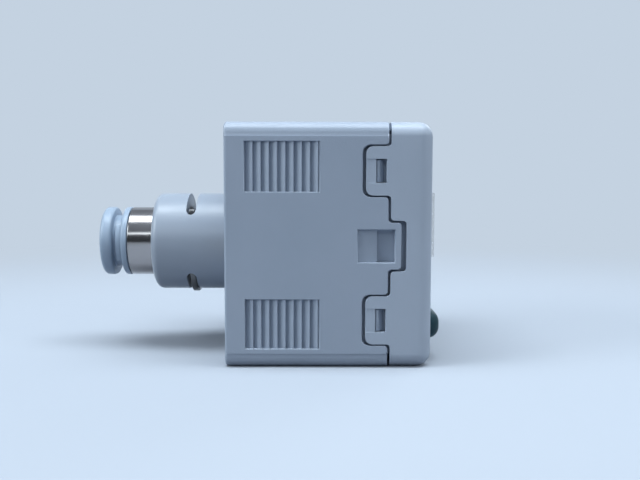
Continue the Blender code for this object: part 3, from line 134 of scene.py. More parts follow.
def moulded_plastic(name, light, dark, roughness, grain_mm, grain_height):
    """Satin moulded plastic: two close tones, an eroded grain and a roughness that wanders a little."""
    material, tree, shader, place = new_finish(name, IOR=1.52)
    drift = add(tree, "TexNoise", {"Vector": place, "Scale": size(tone_drift_mm), "Detail": 4.0,
                                   "Roughness": 0.6})
    tone = add(tree, "ValToRGB", {"Fac": drift.outputs["Fac"]})
    tone.color_ramp.elements[0].position, tone.color_ramp.elements[0].color = 0.3, linear(dark)
    tone.color_ramp.elements[1].position, tone.color_ramp.elements[1].color = 0.7, linear(light)
    tree.links.new(tone.outputs["Color"], shader.inputs["Base Color"])
    grain = add(tree, "TexNoise", {"Vector": place, "Scale": size(grain_mm), "Detail": 2.0,
                                   "Roughness": 0.6})
    handling = add(tree, "TexNoise", {"Vector": place, "Scale": size(handling_mm), "Detail": 3.0,
                                      "Roughness": 0.6})
    satin = add(tree, "MapRange", {"Value": handling.outputs["Fac"], "From Min": 0.3, "From Max": 0.7,
                                   "To Min": roughness - 0.05, "To Max": roughness + 0.06})
    tree.links.new(satin.outputs["Result"], shader.inputs["Roughness"])
    relief = add(tree, "Bump", {"Height": grain.outputs["Fac"], "Strength": 0.5,
                                "Distance": grain_height * MM})
    tree.links.new(relief.outputs["Normal"], shader.inputs["Normal"])
    return material


casing_plastic = moulded_plastic("moulded_grey_polycarbonate", "a4aebe", "9ea9b9", 0.44, 0.22, 0.02)
# The bezel's tones are a shade lighter than the casing's: painted light for the brighter front end.
bezel_plastic_painted_light = moulded_plastic("moulded_grey_bezel_painted_light", "aeb8c7", "a9b3c2", 0.42, 0.22, 0.02)
port_plastic = moulded_plastic("smooth_grey_acetal", "9da6b3", "98a1af", 0.34, 0.22, 0.01)
white_acetal = moulded_plastic("milky_white_acetal", "9eaec1", "99a9bc", 0.36, 0.22, 0.01)
holder_plastic = moulded_plastic("natural_nylon", "d5d9d6", "cdd1ce", 0.5, 0.3, 0.02)
black_plastic = moulded_plastic("glass_filled_black_nylon", "26282b", "1f2124", 0.5, 0.18, 0.03)
display_glass = moulded_plastic("dark_display_glass", "1c2224", "181e20", 0.1, 3.0, 0.001)
segment_grey = moulded_plastic("unlit_segment_film", "5d696c", "566265", 0.3, 3.0, 0.001)

# %% [markdown]
# ## Rubber
#
# The keys are soft silicone rubber in a dark green-grey. Its sheen is broad, because the tool's texture
# prints into the rubber, and a little fine dust sits on it in patches of about a millimetre. The seals
# inside are black nitrile rubber. The pale filling of the keys' arrows is a soft silicone paint, as
# matt and dusty as the rubber round it, so it shares the recipe.

# %% Finish: rubber
dust_mm, texture_mm = 0.9, 0.15


def moulded_rubber(name, colour, dusty, roughness):
    """Matt rubber: patches of dust in a paler tone, a fine tool texture and a weak sheen."""
    material, tree, shader, place = new_finish(name, Sheen_Weight=0.03, Sheen_Roughness=0.4,
                                               Specular_IOR_Level=0.3)
    dust = add(tree, "TexNoise", {"Vector": place, "Scale": size(dust_mm), "Detail": 5.0,
                                  "Roughness": 0.65})
    tone = add(tree, "ValToRGB", {"Fac": dust.outputs["Fac"]})
    tone.color_ramp.elements[0].position, tone.color_ramp.elements[0].color = 0.45, linear(colour)
    tone.color_ramp.elements[1].position, tone.color_ramp.elements[1].color = 0.75, linear(dusty)
    tree.links.new(tone.outputs["Color"], shader.inputs["Base Color"])
    satin = add(tree, "MapRange", {"Value": dust.outputs["Fac"], "To Min": roughness - 0.08,
                                   "To Max": roughness + 0.1})
    tree.links.new(satin.outputs["Result"], shader.inputs["Roughness"])
    grain = add(tree, "TexNoise", {"Vector": place, "Scale": size(texture_mm), "Detail": 2.0})
    relief = add(tree, "Bump", {"Height": grain.outputs["Fac"], "Strength": 0.4, "Distance": 0.02 * MM})
    tree.links.new(relief.outputs["Normal"], shader.inputs["Normal"])
    return material


arrow_paint = moulded_rubber("pale_filling_paint", "c2c2c1", "d0cecc", 0.5)
key_rubber = moulded_rubber("green_grey_silicone_rubber", "133640", "1d424d", 0.5)
seal_rubber = moulded_rubber("black_nitrile_rubber", "141516", "202224", 0.55)

# %% [markdown]
# ## Metals
#
# The sleeve is brass, turned on a lathe and bright nickel plated. The lathe leaves rings round its axis,
# a few hundredths of a millimetre apart, that stretch its highlights into bands. They are drawn at
# 0.12 mm, the finest that the picture holds. The clip and the collet are rolled spring steel, which is
# darker and duller. The inserts are bare brass and the pins are gold plated. The nickel and the steel
# also hold painted shade: the nickel's grey is set darker than clean nickel, for the dark surroundings
# that the real sleeve mirrors, and the steel's darker still, for the deep shade in the clip's slot.

# %% Finish: metals
ring_stretch = 0.02
tint_drift_mm = 5


def turned_metal(name, colour, tint, roughness, ring_mm, ring_height):
    """Metal with fine rings round the X axis, and a tint that drifts a little."""
    material, tree, shader, place = new_finish(name, Metallic=1.0)
    flat = add(tree, "Mapping", {"Vector": place, "Scale": (1.0, ring_stretch, ring_stretch)})
    rings = add(tree, "TexNoise", {"Vector": flat.outputs["Vector"], "Scale": size(ring_mm),
                                   "Detail": 3.0, "Roughness": 0.7})
    drift = add(tree, "TexNoise", {"Vector": place, "Scale": size(tint_drift_mm), "Detail": 3.0})
    tone = add(tree, "ValToRGB", {"Fac": drift.outputs["Fac"]})
    tone.color_ramp.elements[0].position, tone.color_ramp.elements[0].color = 0.3, linear(tint)
    tone.color_ramp.elements[1].position, tone.color_ramp.elements[1].color = 0.7, linear(colour)
    tree.links.new(tone.outputs["Color"], shader.inputs["Base Color"])
    shine = add(tree, "MapRange", {"Value": rings.outputs["Fac"], "To Min": roughness - 0.05,
                                   "To Max": roughness + 0.08})
    tree.links.new(shine.outputs["Result"], shader.inputs["Roughness"])
    relief = add(tree, "Bump", {"Height": rings.outputs["Fac"], "Strength": 0.35,
                                "Distance": ring_height * MM})
    tree.links.new(relief.outputs["Normal"], shader.inputs["Normal"])
    return material


# The nickel's grey is set darker than clean nickel: painted shade for the dark surroundings it mirrors.
bright_nickel = turned_metal("nickel_plated_brass_painted_dark", "aaa6a6", "9f9c9c", 0.15, 0.12, 0.002)
# The steel's grey is set darker still: painted shade, standing in for the dark slot round the clip.
spring_steel = turned_metal("rolled_spring_steel_painted_dark", "757475", "686869", 0.32, 0.2, 0.004)
bare_brass = turned_metal("turned_brass", "cfa860", "bd9550", 0.28, 0.15, 0.004)
gold_plate = turned_metal("gold_plated_contact", "e0b864", "d2a955", 0.24, 0.15, 0.003)

# %% [markdown]
# ## Clear window and circuit board
#
# The window is clear polycarbonate, polished in the mould, with a faint haze of wear. The real plastic
# has an index of 1.58. In a studio with one pale backdrop that turns its edge into a dark line, while
# on the real object the background shows through it. So the index is set low, and much of the window
# simply lets the light pass.
#
# The boards are glass-fibre laminate under a green solder mask. The copper tracks below lift the mask
# a little and make it paler. They are drawn along the edges of a cell pattern, with cells of 1.6 mm.

# %% Finish: clear window and board
wear_mm, track_cell_mm = 2, 1.6


def polished_clear(name):
    """Clear plastic that bends light little, with a slight haze of wear."""
    material, tree, shader, place = new_finish(
        name, IOR=1.18, Transmission_Weight=1.0, Base_Color=linear("f4f8fa"), Alpha=0.3)
    wear = add(tree, "TexNoise", {"Vector": place, "Scale": size(wear_mm), "Detail": 4.0})
    haze = add(tree, "MapRange", {"Value": wear.outputs["Fac"], "To Min": 0.0, "To Max": 0.03})
    tree.links.new(haze.outputs["Result"], shader.inputs["Roughness"])
    return material


def board_laminate(name):
    """Green mask over copper tracks that run along the edges of cells, a little paler than the rest."""
    material, tree, shader, place = new_finish(name, IOR=1.55, Coat_Weight=0.3, Roughness=0.35)
    cells = add(tree, "TexVoronoi", {"Vector": place, "Scale": size(track_cell_mm)},
                feature="DISTANCE_TO_EDGE")
    tracks = add(tree, "MapRange", {"Value": cells.outputs["Distance"], "From Min": 0.02,
                                    "From Max": 0.06})
    tone = add(tree, "ValToRGB", {"Fac": tracks.outputs["Result"]})
    tone.color_ramp.elements[0].color = linear("2f7f4c")
    tone.color_ramp.elements[1].color = linear("1d5c36")
    tree.links.new(tone.outputs["Color"], shader.inputs["Base Color"])
    relief = add(tree, "Bump", {"Height": tracks.outputs["Result"], "Strength": 0.3,
                                "Distance": 0.03 * MM}, invert=True)
    tree.links.new(relief.outputs["Normal"], shader.inputs["Normal"])
    return material


window_clear = polished_clear("clear_polycarbonate")
board_green = board_laminate("green_solder_mask")
print("finishes made:", len([m for m in bpy.data.materials if m.users == 0]))

# %% [markdown]
# ## Copying a CAD shell and rounding its edges
#
# A moulded part has no knife edges: the tool leaves a radius of about a tenth of a millimetre, and that
# is what draws the thin bright lines round every pocket. A CAD node comes as loose triangles, so a copy
# is merged and its flat faces made whole first.

# %% Helpers to select and copy
weld_mm = 0.002
flat_degrees = 0.5


def deselect():
    """Leaves edit mode and empties the selection, because an operator acts on all that is selected."""
    if bpy.context.object and bpy.context.object.mode != "OBJECT":
        bpy.ops.object.mode_set(mode="OBJECT")
    bpy.ops.object.select_all(action="DESELECT")


def take_up(piece):
    """Makes one piece the only selected and active one."""
    deselect()
    piece.select_set(True)
    bpy.context.view_layer.objects.active = piece


def merged_copy(node, name):
    """A copy of a CAD node's mesh with its loose triangles joined and its flat faces made whole."""
    piece = bpy.data.objects.new(name, nodes[node].data.copy())
    bpy.context.scene.collection.objects.link(piece)
    piece.data.materials.clear()
    take_up(piece)
    bpy.ops.object.mode_set(mode="EDIT")
    bpy.ops.mesh.select_all(action="SELECT")
    bpy.ops.mesh.remove_doubles(threshold=weld_mm * MM)
    bpy.ops.mesh.normals_make_consistent(inside=False)
    bpy.ops.mesh.dissolve_limited(angle_limit=math.radians(flat_degrees))
    bpy.ops.object.mode_set(mode="OBJECT")
    return piece


# %% [markdown]
# Then the outward corners alone are bevelled. No edge is picked by hand: each goes through a small test,
# which says by its place and by the angle of its faces whether it is wanted. Most pieces combine the
# tests below with one of their own.

# %% Helpers to choose edges and round them
X, Z = 0, 2


def choose_edges(piece, wanted, faces=2):
    """Edit mode, with the edges selected that lie on this many faces and that wanted picks."""
    take_up(piece)
    bpy.ops.object.mode_set(mode="EDIT")
    bpy.ops.mesh.select_mode(type="EDGE")
    bpy.ops.mesh.select_all(action="DESELECT")
    mesh = bmesh.from_edit_mesh(piece.data)
    chosen = 0
    for edge in mesh.edges:
        if len(edge.link_faces) == faces and wanted(edge):
            edge.select_set(True)
            chosen += 1
    bmesh.update_edit_mesh(piece.data)
    return chosen


def round_edges(piece, wanted, radius_mm, segments=3, clamp=True):
    """Bevels the edges that wanted picks, leaves edit mode and says how many there were."""
    count = choose_edges(piece, wanted)
    if count:
        bpy.ops.mesh.bevel(offset=radius_mm * MM, segments=segments, profile=0.5, clamp_overlap=clamp,
                           affect="EDGES")
    bpy.ops.object.mode_set(mode="OBJECT")
    return count


def outward(edge, degrees=30):
    """True for a corner that stands out and turns by more than this angle."""
    return edge.calc_face_angle_signed(0) > math.radians(degrees)


def middle_of(edge):
    """The point half-way along an edge."""
    return (edge.verts[0].co + edge.verts[1].co) / 2


def spans(edge, axis, over_mm):
    """True for an edge that covers more than this many millimetres along one axis."""
    return abs(edge.verts[0].co[axis] - edge.verts[1].co[axis]) > over_mm * MM


def on_front(edge, x_mm):
    """True for an edge that lies in the front face at this x."""
    return min(v.co.x for v in edge.verts) > (x_mm - 0.01) * MM


# %% [markdown]
# Every finished piece goes through one last step. Its shading is made soft across shallow angles only,
# and weighted normals keep the large flat faces flat beside their small bevels. Then it gets its finish
# and is told which body it rides on, and the CAD nodes that it stands for are hidden.

# %% Helper: shading, finish and body
smooth_degrees = 32


def smooth(piece, material, body, *stands_for, slot=None):
    """Soft shading that keeps real corners, the finish, and the body it rides on."""
    take_up(piece)
    bpy.ops.object.shade_smooth_by_angle(angle=math.radians(smooth_degrees))
    weighted = piece.modifiers.new("even_faces", "WEIGHTED_NORMAL")
    weighted.keep_sharp = True
    weighted.weight = 90
    bpy.ops.object.modifier_apply(modifier=weighted.name)
    piece.data.materials.clear()
    piece.data.materials.append(material)
    deselect()
    if stands_for:
        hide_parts(*stands_for)
    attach(piece, body)
    return piece


# %% [markdown]
# ## Rear housing
#
# The rear housing is a deep box with four toothed pockets, for the ratchet of a panel-mount adapter, and
# a stepped front edge that the bezel's tabs snap into. Every outward edge gets its small moulded radius.
# The teeth are only a tenth of a millimetre wide at their crests, so theirs is smaller. Two kinds of
# edge are left out of the first rounding: those of the teeth, and those of the small ledge above and
# below each raised side panel, where a radius would be wider than the ledge.

# %% Piece: rear housing
moulded_radius, crest_radius = 0.12, 0.03
ratchet_offset, ratchet_half, ratchet_length = 9.6 * MM, 3.02 * MM, 12 * MM
pocket_depth = 0.65 * MM
ledge_offset = top_z / 2 - 1.75 * MM
slack = 0.05 * MM
side_band, crest_band = 0.25 * MM, 0.2 * MM


def depth_in_side(edge):
    """How far an edge lies below the nearer side face."""
    return side_y - abs(middle_of(edge).y)


def in_ratchet(edge):
    """True for the teeth inside a toothed pocket, and false for the pocket's rim on the side face."""
    middle = middle_of(edge)
    from_centre = abs(abs(middle.z - top_z / 2) - ratchet_offset)
    return from_centre < ratchet_half + slack and middle.x < rear_x + ratchet_length \
        and slack < depth_in_side(edge) < pocket_depth


def near_side(edge):
    """True near a side face, but not on the small ledge above and below its raised panel."""
    on_ledge = abs(abs(middle_of(edge).z - top_z / 2) - ledge_offset) < slack
    return depth_in_side(edge) < side_band and not on_ledge


housing = merged_copy("rear_housing", "housing_shell")
count = round_edges(housing, lambda edge: outward(edge) and near_side(edge) and not in_ratchet(edge),
                    moulded_radius, 2, clamp=False)
crests = round_edges(housing, lambda edge: outward(edge, 20) and in_ratchet(edge)
                     and depth_in_side(edge) < crest_band, crest_radius, 2)
print("housing edges rounded:", count, "crest edges:", crests, "faces", len(housing.data.polygons))
smooth(housing, casing_plastic, "casing", "rear_housing", slot="light_grey_plastic")

# %% [markdown]
# ## Front bezel
#
# The bezel is the shallow box in front, with the tabs that grip the housing. It is moulded in the same
# plastic and gets a slightly smaller radius round its seam, windows and openings, because its tabs'
# windows have narrow sills. Its tones are a shade lighter than the casing's: painted light, for the
# brighter light on the front end of the side.

# %% Piece: front bezel
bezel_radius = 0.09
bezel = merged_copy("front_bezel", "bezel_shell")
count = round_edges(bezel, outward, bezel_radius, 2)
print("bezel edges rounded:", count, "faces", len(bezel.data.polygons))
smooth(bezel, bezel_plastic_painted_light, "casing", "front_bezel", slot="light_grey_plastic")

# %% [markdown]
# ## Turned pieces, blocks and booleans
#
# Everything in the tube fitting is round. Instead of a spun outline, a ring of edges is drawn out along
# the axis and widened or narrowed at each step, as a potter pulls a wall. With 128 sides the facets of
# the CAD model disappear. The last ring meets the first, so the wall closes on itself.

# %% Helper: turned pieces
ring_weld_mm = 0.001


def turned(name, rings, sides=128, centre=(0.0, port_height)):
    """A closed wall of revolution about an axis along X. The rings are (x, radius) pairs in mm."""
    deselect()
    x, radius = rings[0]
    middle = (x * MM, centre[0], centre[1])
    bpy.ops.mesh.primitive_circle_add(vertices=sides, radius=radius * MM, fill_type="NOTHING",
                                      location=middle, rotation=(0.0, math.pi / 2, 0.0))
    piece = bpy.context.object
    piece.name = piece.data.name = name
    bpy.ops.object.transform_apply(location=True, rotation=True, scale=True)
    bpy.ops.object.mode_set(mode="EDIT")
    bpy.ops.mesh.select_all(action="SELECT")
    for next_x, next_radius in rings[1:] + rings[:1]:
        bpy.ops.mesh.extrude_region_move(
            TRANSFORM_OT_translate={"value": ((next_x - x) * MM, 0.0, 0.0)})
        k = next_radius / radius
        bpy.ops.transform.resize(value=(1.0, k, k), center_override=(next_x * MM, centre[0], centre[1]))
        x, radius = next_x, next_radius
    bpy.ops.mesh.select_all(action="SELECT")
    bpy.ops.mesh.remove_doubles(threshold=ring_weld_mm * MM)
    bpy.ops.mesh.normals_make_consistent(inside=False)
    bpy.ops.object.mode_set(mode="OBJECT")
    return piece


# %% [markdown]
# Slots, ribs and openings are cut or joined with blocks. The exact solver is slower than the fast one,
# but it stays reliable where two faces touch. What repeats is modelled once and copied, each copy with
# its own mesh.

# %% Helpers: booleans, blocks and copies
def apply_boolean(piece, other, operation="DIFFERENCE"):
    """Cuts or joins with another mesh, which is then deleted."""
    take_up(piece)
    step = piece.modifiers.new("step", "BOOLEAN")
    step.operation = operation
    step.solver = "EXACT"
    step.object = other
    bpy.ops.object.modifier_apply(modifier=step.name)
    bpy.data.objects.remove(other, do_unlink=True)


def box(name, low, high):
    """A cube primitive at its size and place, between two corners in mm."""
    deselect()
    low, high = Vector(low) * MM, Vector(high) * MM
    bpy.ops.mesh.primitive_cube_add(size=1.0, location=(low + high) / 2, scale=high - low)
    piece = bpy.context.object
    piece.name = piece.data.name = name
    bpy.ops.object.transform_apply(location=True, rotation=True, scale=True)
    return piece


def placed_copy(original, name, shift_mm):
    """A copy with its own mesh, shifted inside that mesh so that its object stays at the origin."""
    copied = original.copy()
    copied.data = original.data.copy()
    copied.name = copied.data.name = name
    copied.data.transform(Matrix.Translation(Vector(shift_mm) * MM))
    bpy.context.scene.collection.objects.link(copied)
    return copied


# %% [markdown]
# ## Port adaptor
#
# The grey barrel is moulded acetal, smoother than the casing, with a rounded rim. Inside the casing it
# ends in a square flange. A slot for the retaining clip runs through its top and bottom. It is cut with
# a bar that has rounded corners, and then its own edges are softened where they break the surface.

# %% Piece: port adaptor
port_low, port_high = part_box("port_adaptor")
front_mm = port_high.x / MM
end_mm = port_low.x / MM
barrel_radius, bore_end = 6.55, -12.85
groove_from, groove_to = -18.65, -17.35
slot_half_width, slot_corner, slot_reach, slot_edge_radius = 5.25, 0.62, 8, 0.07
flange_start, flange_half, flange_foot, flange_chamfer = -10.7, 7.07, 7.75, 0.15
barrel = turned("port_barrel", [
    (end_mm, 5.1), (end_mm + 0.04, 5.5), (end_mm + 0.13, 5.87), (end_mm + 0.28, 6.18),
    (end_mm + 0.5, 6.4), (end_mm + 0.76, 6.51), (end_mm + 1.05, barrel_radius),
    (front_mm - flange_chamfer, barrel_radius), (front_mm, 6.4), (front_mm, 1.2), (bore_end, 1.2),
    (bore_end, 4.75), (end_mm + 0.12, 4.75), (end_mm, 4.87),
])
slot_bar = box("slot_bar", (groove_from, -slot_half_width, port_mm - slot_reach),
               (groove_to, slot_half_width, port_mm + slot_reach))
round_edges(slot_bar, lambda edge: spans(edge, Z, 10), slot_corner, 8)
apply_boolean(barrel, slot_bar)
flange = box("port_flange", (flange_start, -flange_half, flange_foot),
             (front_mm - flange_chamfer, flange_half, port_mm + flange_half))
apply_boolean(barrel, flange, "UNION")


def off_axis(edge):
    """How far an edge's middle lies from the fitting's axis."""
    middle = middle_of(edge)
    return math.hypot(middle.y, middle.z - port_height)


def at_slot(edge):
    """True in the upper or lower slot, where it breaks the barrel's outer surface."""
    middle = middle_of(edge)
    over_slot = (groove_from - 0.15) * MM < middle.x < (groove_to + 0.15) * MM
    return over_slot and abs(middle.z - port_height) > 2.5 * MM \
        and off_axis(edge) > (barrel_radius - 0.05) * MM


count = round_edges(barrel, lambda edge: at_slot(edge) and outward(edge, 25), slot_edge_radius, 2)
print("slot edges rounded:", count)
smooth(barrel, port_plastic, "casing", "port_adaptor", slot="light_grey_plastic")

# %% [markdown]
# ## Sleeve
#
# The bright sleeve is a turned brass tube with nickel over it. Its mouth has a small rolled edge. It
# has two grooves, one for the clip that holds it and one for its seal ring, and inside it are the bore
# for the guide and the stop for the tube.

# %% Piece: fitting sleeve
mouth_mm = sleeve_low.x / MM
inner_mm = sleeve_high.x / MM
sleeve_radius, groove_radius = 4.65, 3.95
seal_from, seal_to = -16.6, -15.5
guide_seat = -19.45
sleeve = turned("nickel_sleeve", [
    (mouth_mm, 4.5), (mouth_mm + 0.05, 4.6), (mouth_mm + 0.15, sleeve_radius),
    (groove_from, sleeve_radius), (groove_from, groove_radius), (groove_to, groove_radius),
    (groove_to, sleeve_radius), (seal_from, sleeve_radius), (seal_from, groove_radius),
    (seal_to, groove_radius), (seal_to, sleeve_radius), (inner_mm - 0.15, sleeve_radius),
    (inner_mm, 4.5), (inner_mm, 2.05), (inner_mm - 1.0, 2.05), (inner_mm - 1.0, 3.05),
    (guide_seat, 3.05), (guide_seat, 4.12), (mouth_mm + 0.1, 4.12), (mouth_mm, 4.22),
])
print("sleeve from", round(mouth_mm, 2), "to", round(inner_mm, 2), "faces", len(sleeve.data.polygons))
smooth(sleeve, bright_nickel, "casing", "fitting_sleeve", slot="bright_nickel")

# %% [markdown]
# ## Collar and release button
#
# The white collar closes the sleeve's mouth, and the white button slides in it: pushed in, it opens the
# collet and lets the tube go. Both are acetal with generous roundings. Two broad ribs on the button's
# neck run in slots of the collar, so that it can't turn. The slots are cut 0.1 mm past the collar's
# flange: a cutter that ends almost in the flange's own face can leave the boolean with missing faces.

# %% Piece: collar
collar_low, collar_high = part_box("tube_guide")
collar_mm, guide_mm = collar_low.x / MM, collar_high.x / MM
button_low, button_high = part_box("release_button")
button_mm, tip_mm = button_low.x / MM, button_high.x / MM
rib_setback, rib_end, rib_radius, rib_edge_radius, rib_degrees = 2.1, -27.5, 4.25, 0.08, 36
slot_depth, slot_clearance, slot_degrees = 0.9, 0.12, 38
rib_foot, rib_top, past_rib = 3.2, 5.0, 7.0
collar = turned("white_collar", [
    (collar_mm, 4.42), (collar_mm + 0.03, 4.52), (collar_mm + 0.1, 4.6), (collar_mm + 0.22, 4.65),
    (collar_mm + 0.7, 4.65), (collar_mm + 0.8, 4.58), (collar_mm + 0.8, 4.02), (guide_mm, 4.02),
    (guide_mm, 3.62), (collar_mm + 0.12, 3.62), (collar_mm, 3.74),
])


def rib(name, side, start, end, radius, half_angle):
    """A block for one broad rib, a sector of a ring: a box whose outer side is cut round."""
    reach = radius * math.sin(math.radians(half_angle))
    low = (start, min(side * rib_foot, side * rib_top), port_mm - reach)
    high = (end, max(side * rib_foot, side * rib_top), port_mm + reach)
    blank = box(name, low, high)
    ring = turned("rib_ring", [(start - 1, radius), (end + 1, radius), (end + 1, past_rib),
                               (start - 1, past_rib)])
    apply_boolean(blank, ring)
    return blank


for side in (-1, 1):
    apply_boolean(collar, rib("rib_slot", side, collar_mm - 1, collar_mm + slot_depth,
                              rib_radius + slot_clearance, slot_degrees))
print("collar faces", len(collar.data.polygons))
smooth(collar, white_acetal, "casing", "tube_guide", slot="white_plastic")

# %% [markdown]
# The button is one turned form: a broad flange to press on, a neck, and a tube that reaches into the
# collet. Its ribs are made like the slots, a little smaller, joined to the neck and softened along
# their outer edges.

# %% Piece: release button
button = turned("white_button", [
    (button_mm, 3.6), (button_mm, 4.1), (button_mm + 0.05, 4.32), (button_mm + 0.16, 4.5),
    (button_mm + 0.33, 4.61), (button_mm + 0.55, 4.65), (button_mm + 1.2, 4.65),
    (button_mm + 1.38, 4.61), (button_mm + 1.49, 4.52), (button_mm + 1.55, 4.38),
    (button_mm + 1.55, 3.6), (button_mm + 1.65, 3.5), (tip_mm, 3.5), (tip_mm, 3.05),
    (button_mm + 0.45, 3.05), (button_mm + 0.2, 3.14), (button_mm + 0.06, 3.3),
])
for side in (-1, 1):
    apply_boolean(button, rib("rib", side, button_mm + rib_setback, rib_end, rib_radius, rib_degrees),
                  "UNION")


def on_rib(edge):
    """True on the outer face of a rib."""
    return (button_mm + rib_setback - 0.2) * MM < middle_of(edge).x < (rib_end + 0.05) * MM \
        and off_axis(edge) > (rib_radius - 0.05) * MM


count = round_edges(button, lambda edge: outward(edge) and on_rib(edge), rib_edge_radius, 2)
print("rib edges rounded:", count, "button faces", len(button.data.polygons))
smooth(button, white_acetal, "release_button", "release_button", slot="white_plastic")

# %% [markdown]
# ## Retaining clip
#
# The clip is stamped from spring steel sheet, so its outline is sharp on one side and rolled on the
# other. A small radius all round is enough to catch the light in the slot.

# %% Piece: retaining clip
clip_edge_radius = 0.12
clip = merged_copy("retaining_clip", "steel_clip")
count = round_edges(clip, lambda edge: outward(edge, 50), clip_edge_radius, 3)
print("clip edges rounded:", count)
smooth(clip, spring_steel, "casing", "retaining_clip", slot="stainless_steel")

# %% [markdown]
# ## Keys
#
# Three soft domes stand in a row under the display. Each starts as a block: its long edges are rounded
# first and then the rim of its front, with many steps, which gives the full dome of the real rubber.
# The outer two keys have a generic arrow pressed into them, and a pale filling lies on its floor.

# %% Pieces: the three keys
flange_rim, flange_setback, flange_thickness, flange_corner = 0.45, 0.7, 0.6, 1.5
stem_radius, dome_steps = 1.1, 10
arrow_radius, arrow_depth, filling_depth = 0.85, 0.12, 0.09


def dome(name):
    """A domed key from its CAD box, with the flange behind the bezel and the stem to its switch."""
    low, high = box_mm(name)
    centre_y, centre_z = (low.y + high.y) / 2, (low.z + high.z) / 2
    half_y, half_z = (high.y - low.y) / 2 - flange_rim, (high.z - low.z) / 2 - flange_rim
    flange_x = low.x + flange_setback
    cap = box(f"{name}_dome", (flange_x, centre_y - half_y, centre_z - half_z),
              (high.x, centre_y + half_y, centre_z + half_z))
    corner = half_z - 0.2
    round_edges(cap, lambda edge: spans(edge, X, 1), corner, dome_steps)
    round_edges(cap, lambda edge: on_front(edge, high.x) and outward(edge), corner - 0.2, dome_steps)
    flange = box("flange", (flange_x, low.y, low.z), (flange_x + flange_thickness, high.y, high.z))
    round_edges(flange, lambda edge: spans(edge, X, 0.3), flange_corner, 6)
    apply_boolean(cap, flange, "UNION")
    stem_end = flange_x + flange_thickness / 2
    stem = turned("stem", [(low.x, stem_radius), (stem_end, stem_radius), (stem_end, 0.05),
                           (low.x, 0.05)], 32, (centre_y * MM, centre_z * MM))
    apply_boolean(cap, stem, "UNION")
    return cap, Vector((high.x, centre_y, centre_z))


def arrow_prism(tip, quarter_turn):
    """A three-sided prism across a key's front, so that half of it reaches into the key."""
    deselect()
    bpy.ops.mesh.primitive_cylinder_add(vertices=3, radius=arrow_radius * MM, depth=2 * arrow_depth * MM,
                                        rotation=(0.0, math.pi / 2, 0.0))
    arrow = bpy.context.object
    bpy.ops.object.transform_apply(location=True, rotation=True, scale=True)
    arrow.rotation_euler.x = quarter_turn * math.pi / 2
    arrow.location = tip * MM
    bpy.ops.object.transform_apply(location=True, rotation=True, scale=True)
    return arrow


arrow_turns = {"key_down": -1, "key_up": 1}
for name in ("key_down", "key_set", "key_up"):
    cap, tip = dome(name)
    if name in arrow_turns:
        apply_boolean(cap, arrow_prism(tip, arrow_turns[name]))
        floor = tip - Vector((filling_depth, 0.0, 0.0))
        fill = arrow_prism(floor, arrow_turns[name])
        take_up(fill)
        bpy.ops.transform.resize(value=(0.5, 0.9, 0.9), center_override=floor * MM)
        bpy.ops.object.transform_apply(location=True, rotation=True, scale=True)
        fill.name = fill.data.name = f"{name}_arrow"
        smooth(fill, arrow_paint, name)
    smooth(cap, key_rubber, name, name, slot="green_grey_rubber")
    print(name, "front at", round(tip.x, 2), "faces", len(cap.data.polygons))

# %% [markdown]
# ## Display window
#
# The window is one clear moulding: a flange behind the bezel, a plate in its opening and a raised lens.
# Each step starts as a block with rounded corners. They are joined, and the whole is hollowed from
# behind, which leaves the thin wall that the background shows through.

# %% Piece: display window
window_low, window_high = box_mm("display_window")
lens_height, plate_margin, lens_side_margin, lens_end_margin = 0.85, 0.62, 1.02, 3.15
lens_edge_radius, window_wall = 0.15, 0.3
flange_end = window_low.x + flange_thickness
plate_end = window_high.x - lens_height
window = box("clear_window", window_low, (flange_end, window_high.y, window_high.z))
round_edges(window, lambda edge: spans(edge, X, 0.3), flange_corner, 6)
plate = box("plate", (flange_end - 0.2, window_low.y + plate_margin, window_low.z + plate_margin),
            (plate_end, window_high.y - plate_margin, window_high.z - plate_margin))
round_edges(plate, lambda edge: spans(edge, X, 0.3), flange_corner - plate_margin, 6)
apply_boolean(window, plate, "UNION")
lens_low = Vector((plate_end - 0.1, window_low.y + lens_side_margin, window_low.z + lens_end_margin))
lens_high = Vector((window_high.x, window_high.y - lens_side_margin, window_high.z - lens_end_margin))
lens = box("lens", lens_low, lens_high)
round_edges(lens, lambda edge: on_front(edge, lens_high.x) and outward(edge), lens_edge_radius, 3)
apply_boolean(window, lens, "UNION")
inset = Vector((window_wall, window_wall, window_wall))
hollow_low = lens_low + inset
hollow_low.x = window_low.x - 1
apply_boolean(window, box("hollow", hollow_low, lens_high - inset))
print("window:", len(window.data.polygons), "faces")
smooth(window, window_clear, "casing", "display_window", slot="clear_window_plastic")

# %% [markdown]
# ## Display mask
#
# A black film behind the window frames the display, and hides the board and the edges of the glass. It
# is a thin plate with a rectangular opening, cut out of it, with the corners rounded as punched film is.

# %% Piece: display mask
lcd_low, lcd_high = box_mm("lcd_panel")
mask_half, mask_margin, mask_edge_radius = 0.05, 0.3, 0.03
opening_margin, opening_foot, opening_corner = 1.4, 2.0, 0.4
mask_x = (lcd_high.x + window_low.x) / 2
mask = box("display_mask", (mask_x - mask_half, window_low.y + mask_margin, window_low.z + mask_margin),
           (mask_x + mask_half, window_high.y - mask_margin, window_high.z - mask_margin))
opening = box("mask_opening", (mask_x - 1, lcd_low.y + opening_margin, lcd_low.z + opening_foot),
              (mask_x + 1, lcd_high.y - opening_margin, lcd_high.z - opening_margin))
round_edges(opening, lambda edge: spans(edge, X, 1), opening_corner, 4)
apply_boolean(mask, opening)
round_edges(mask, lambda edge: outward(edge) and middle_of(edge).x > mask_x * MM, mask_edge_radius, 1)
print("display mask at x", round(mask_x, 2), "faces", len(mask.data.polygons))
smooth(mask, black_plastic, "casing", slot="black_plastic")

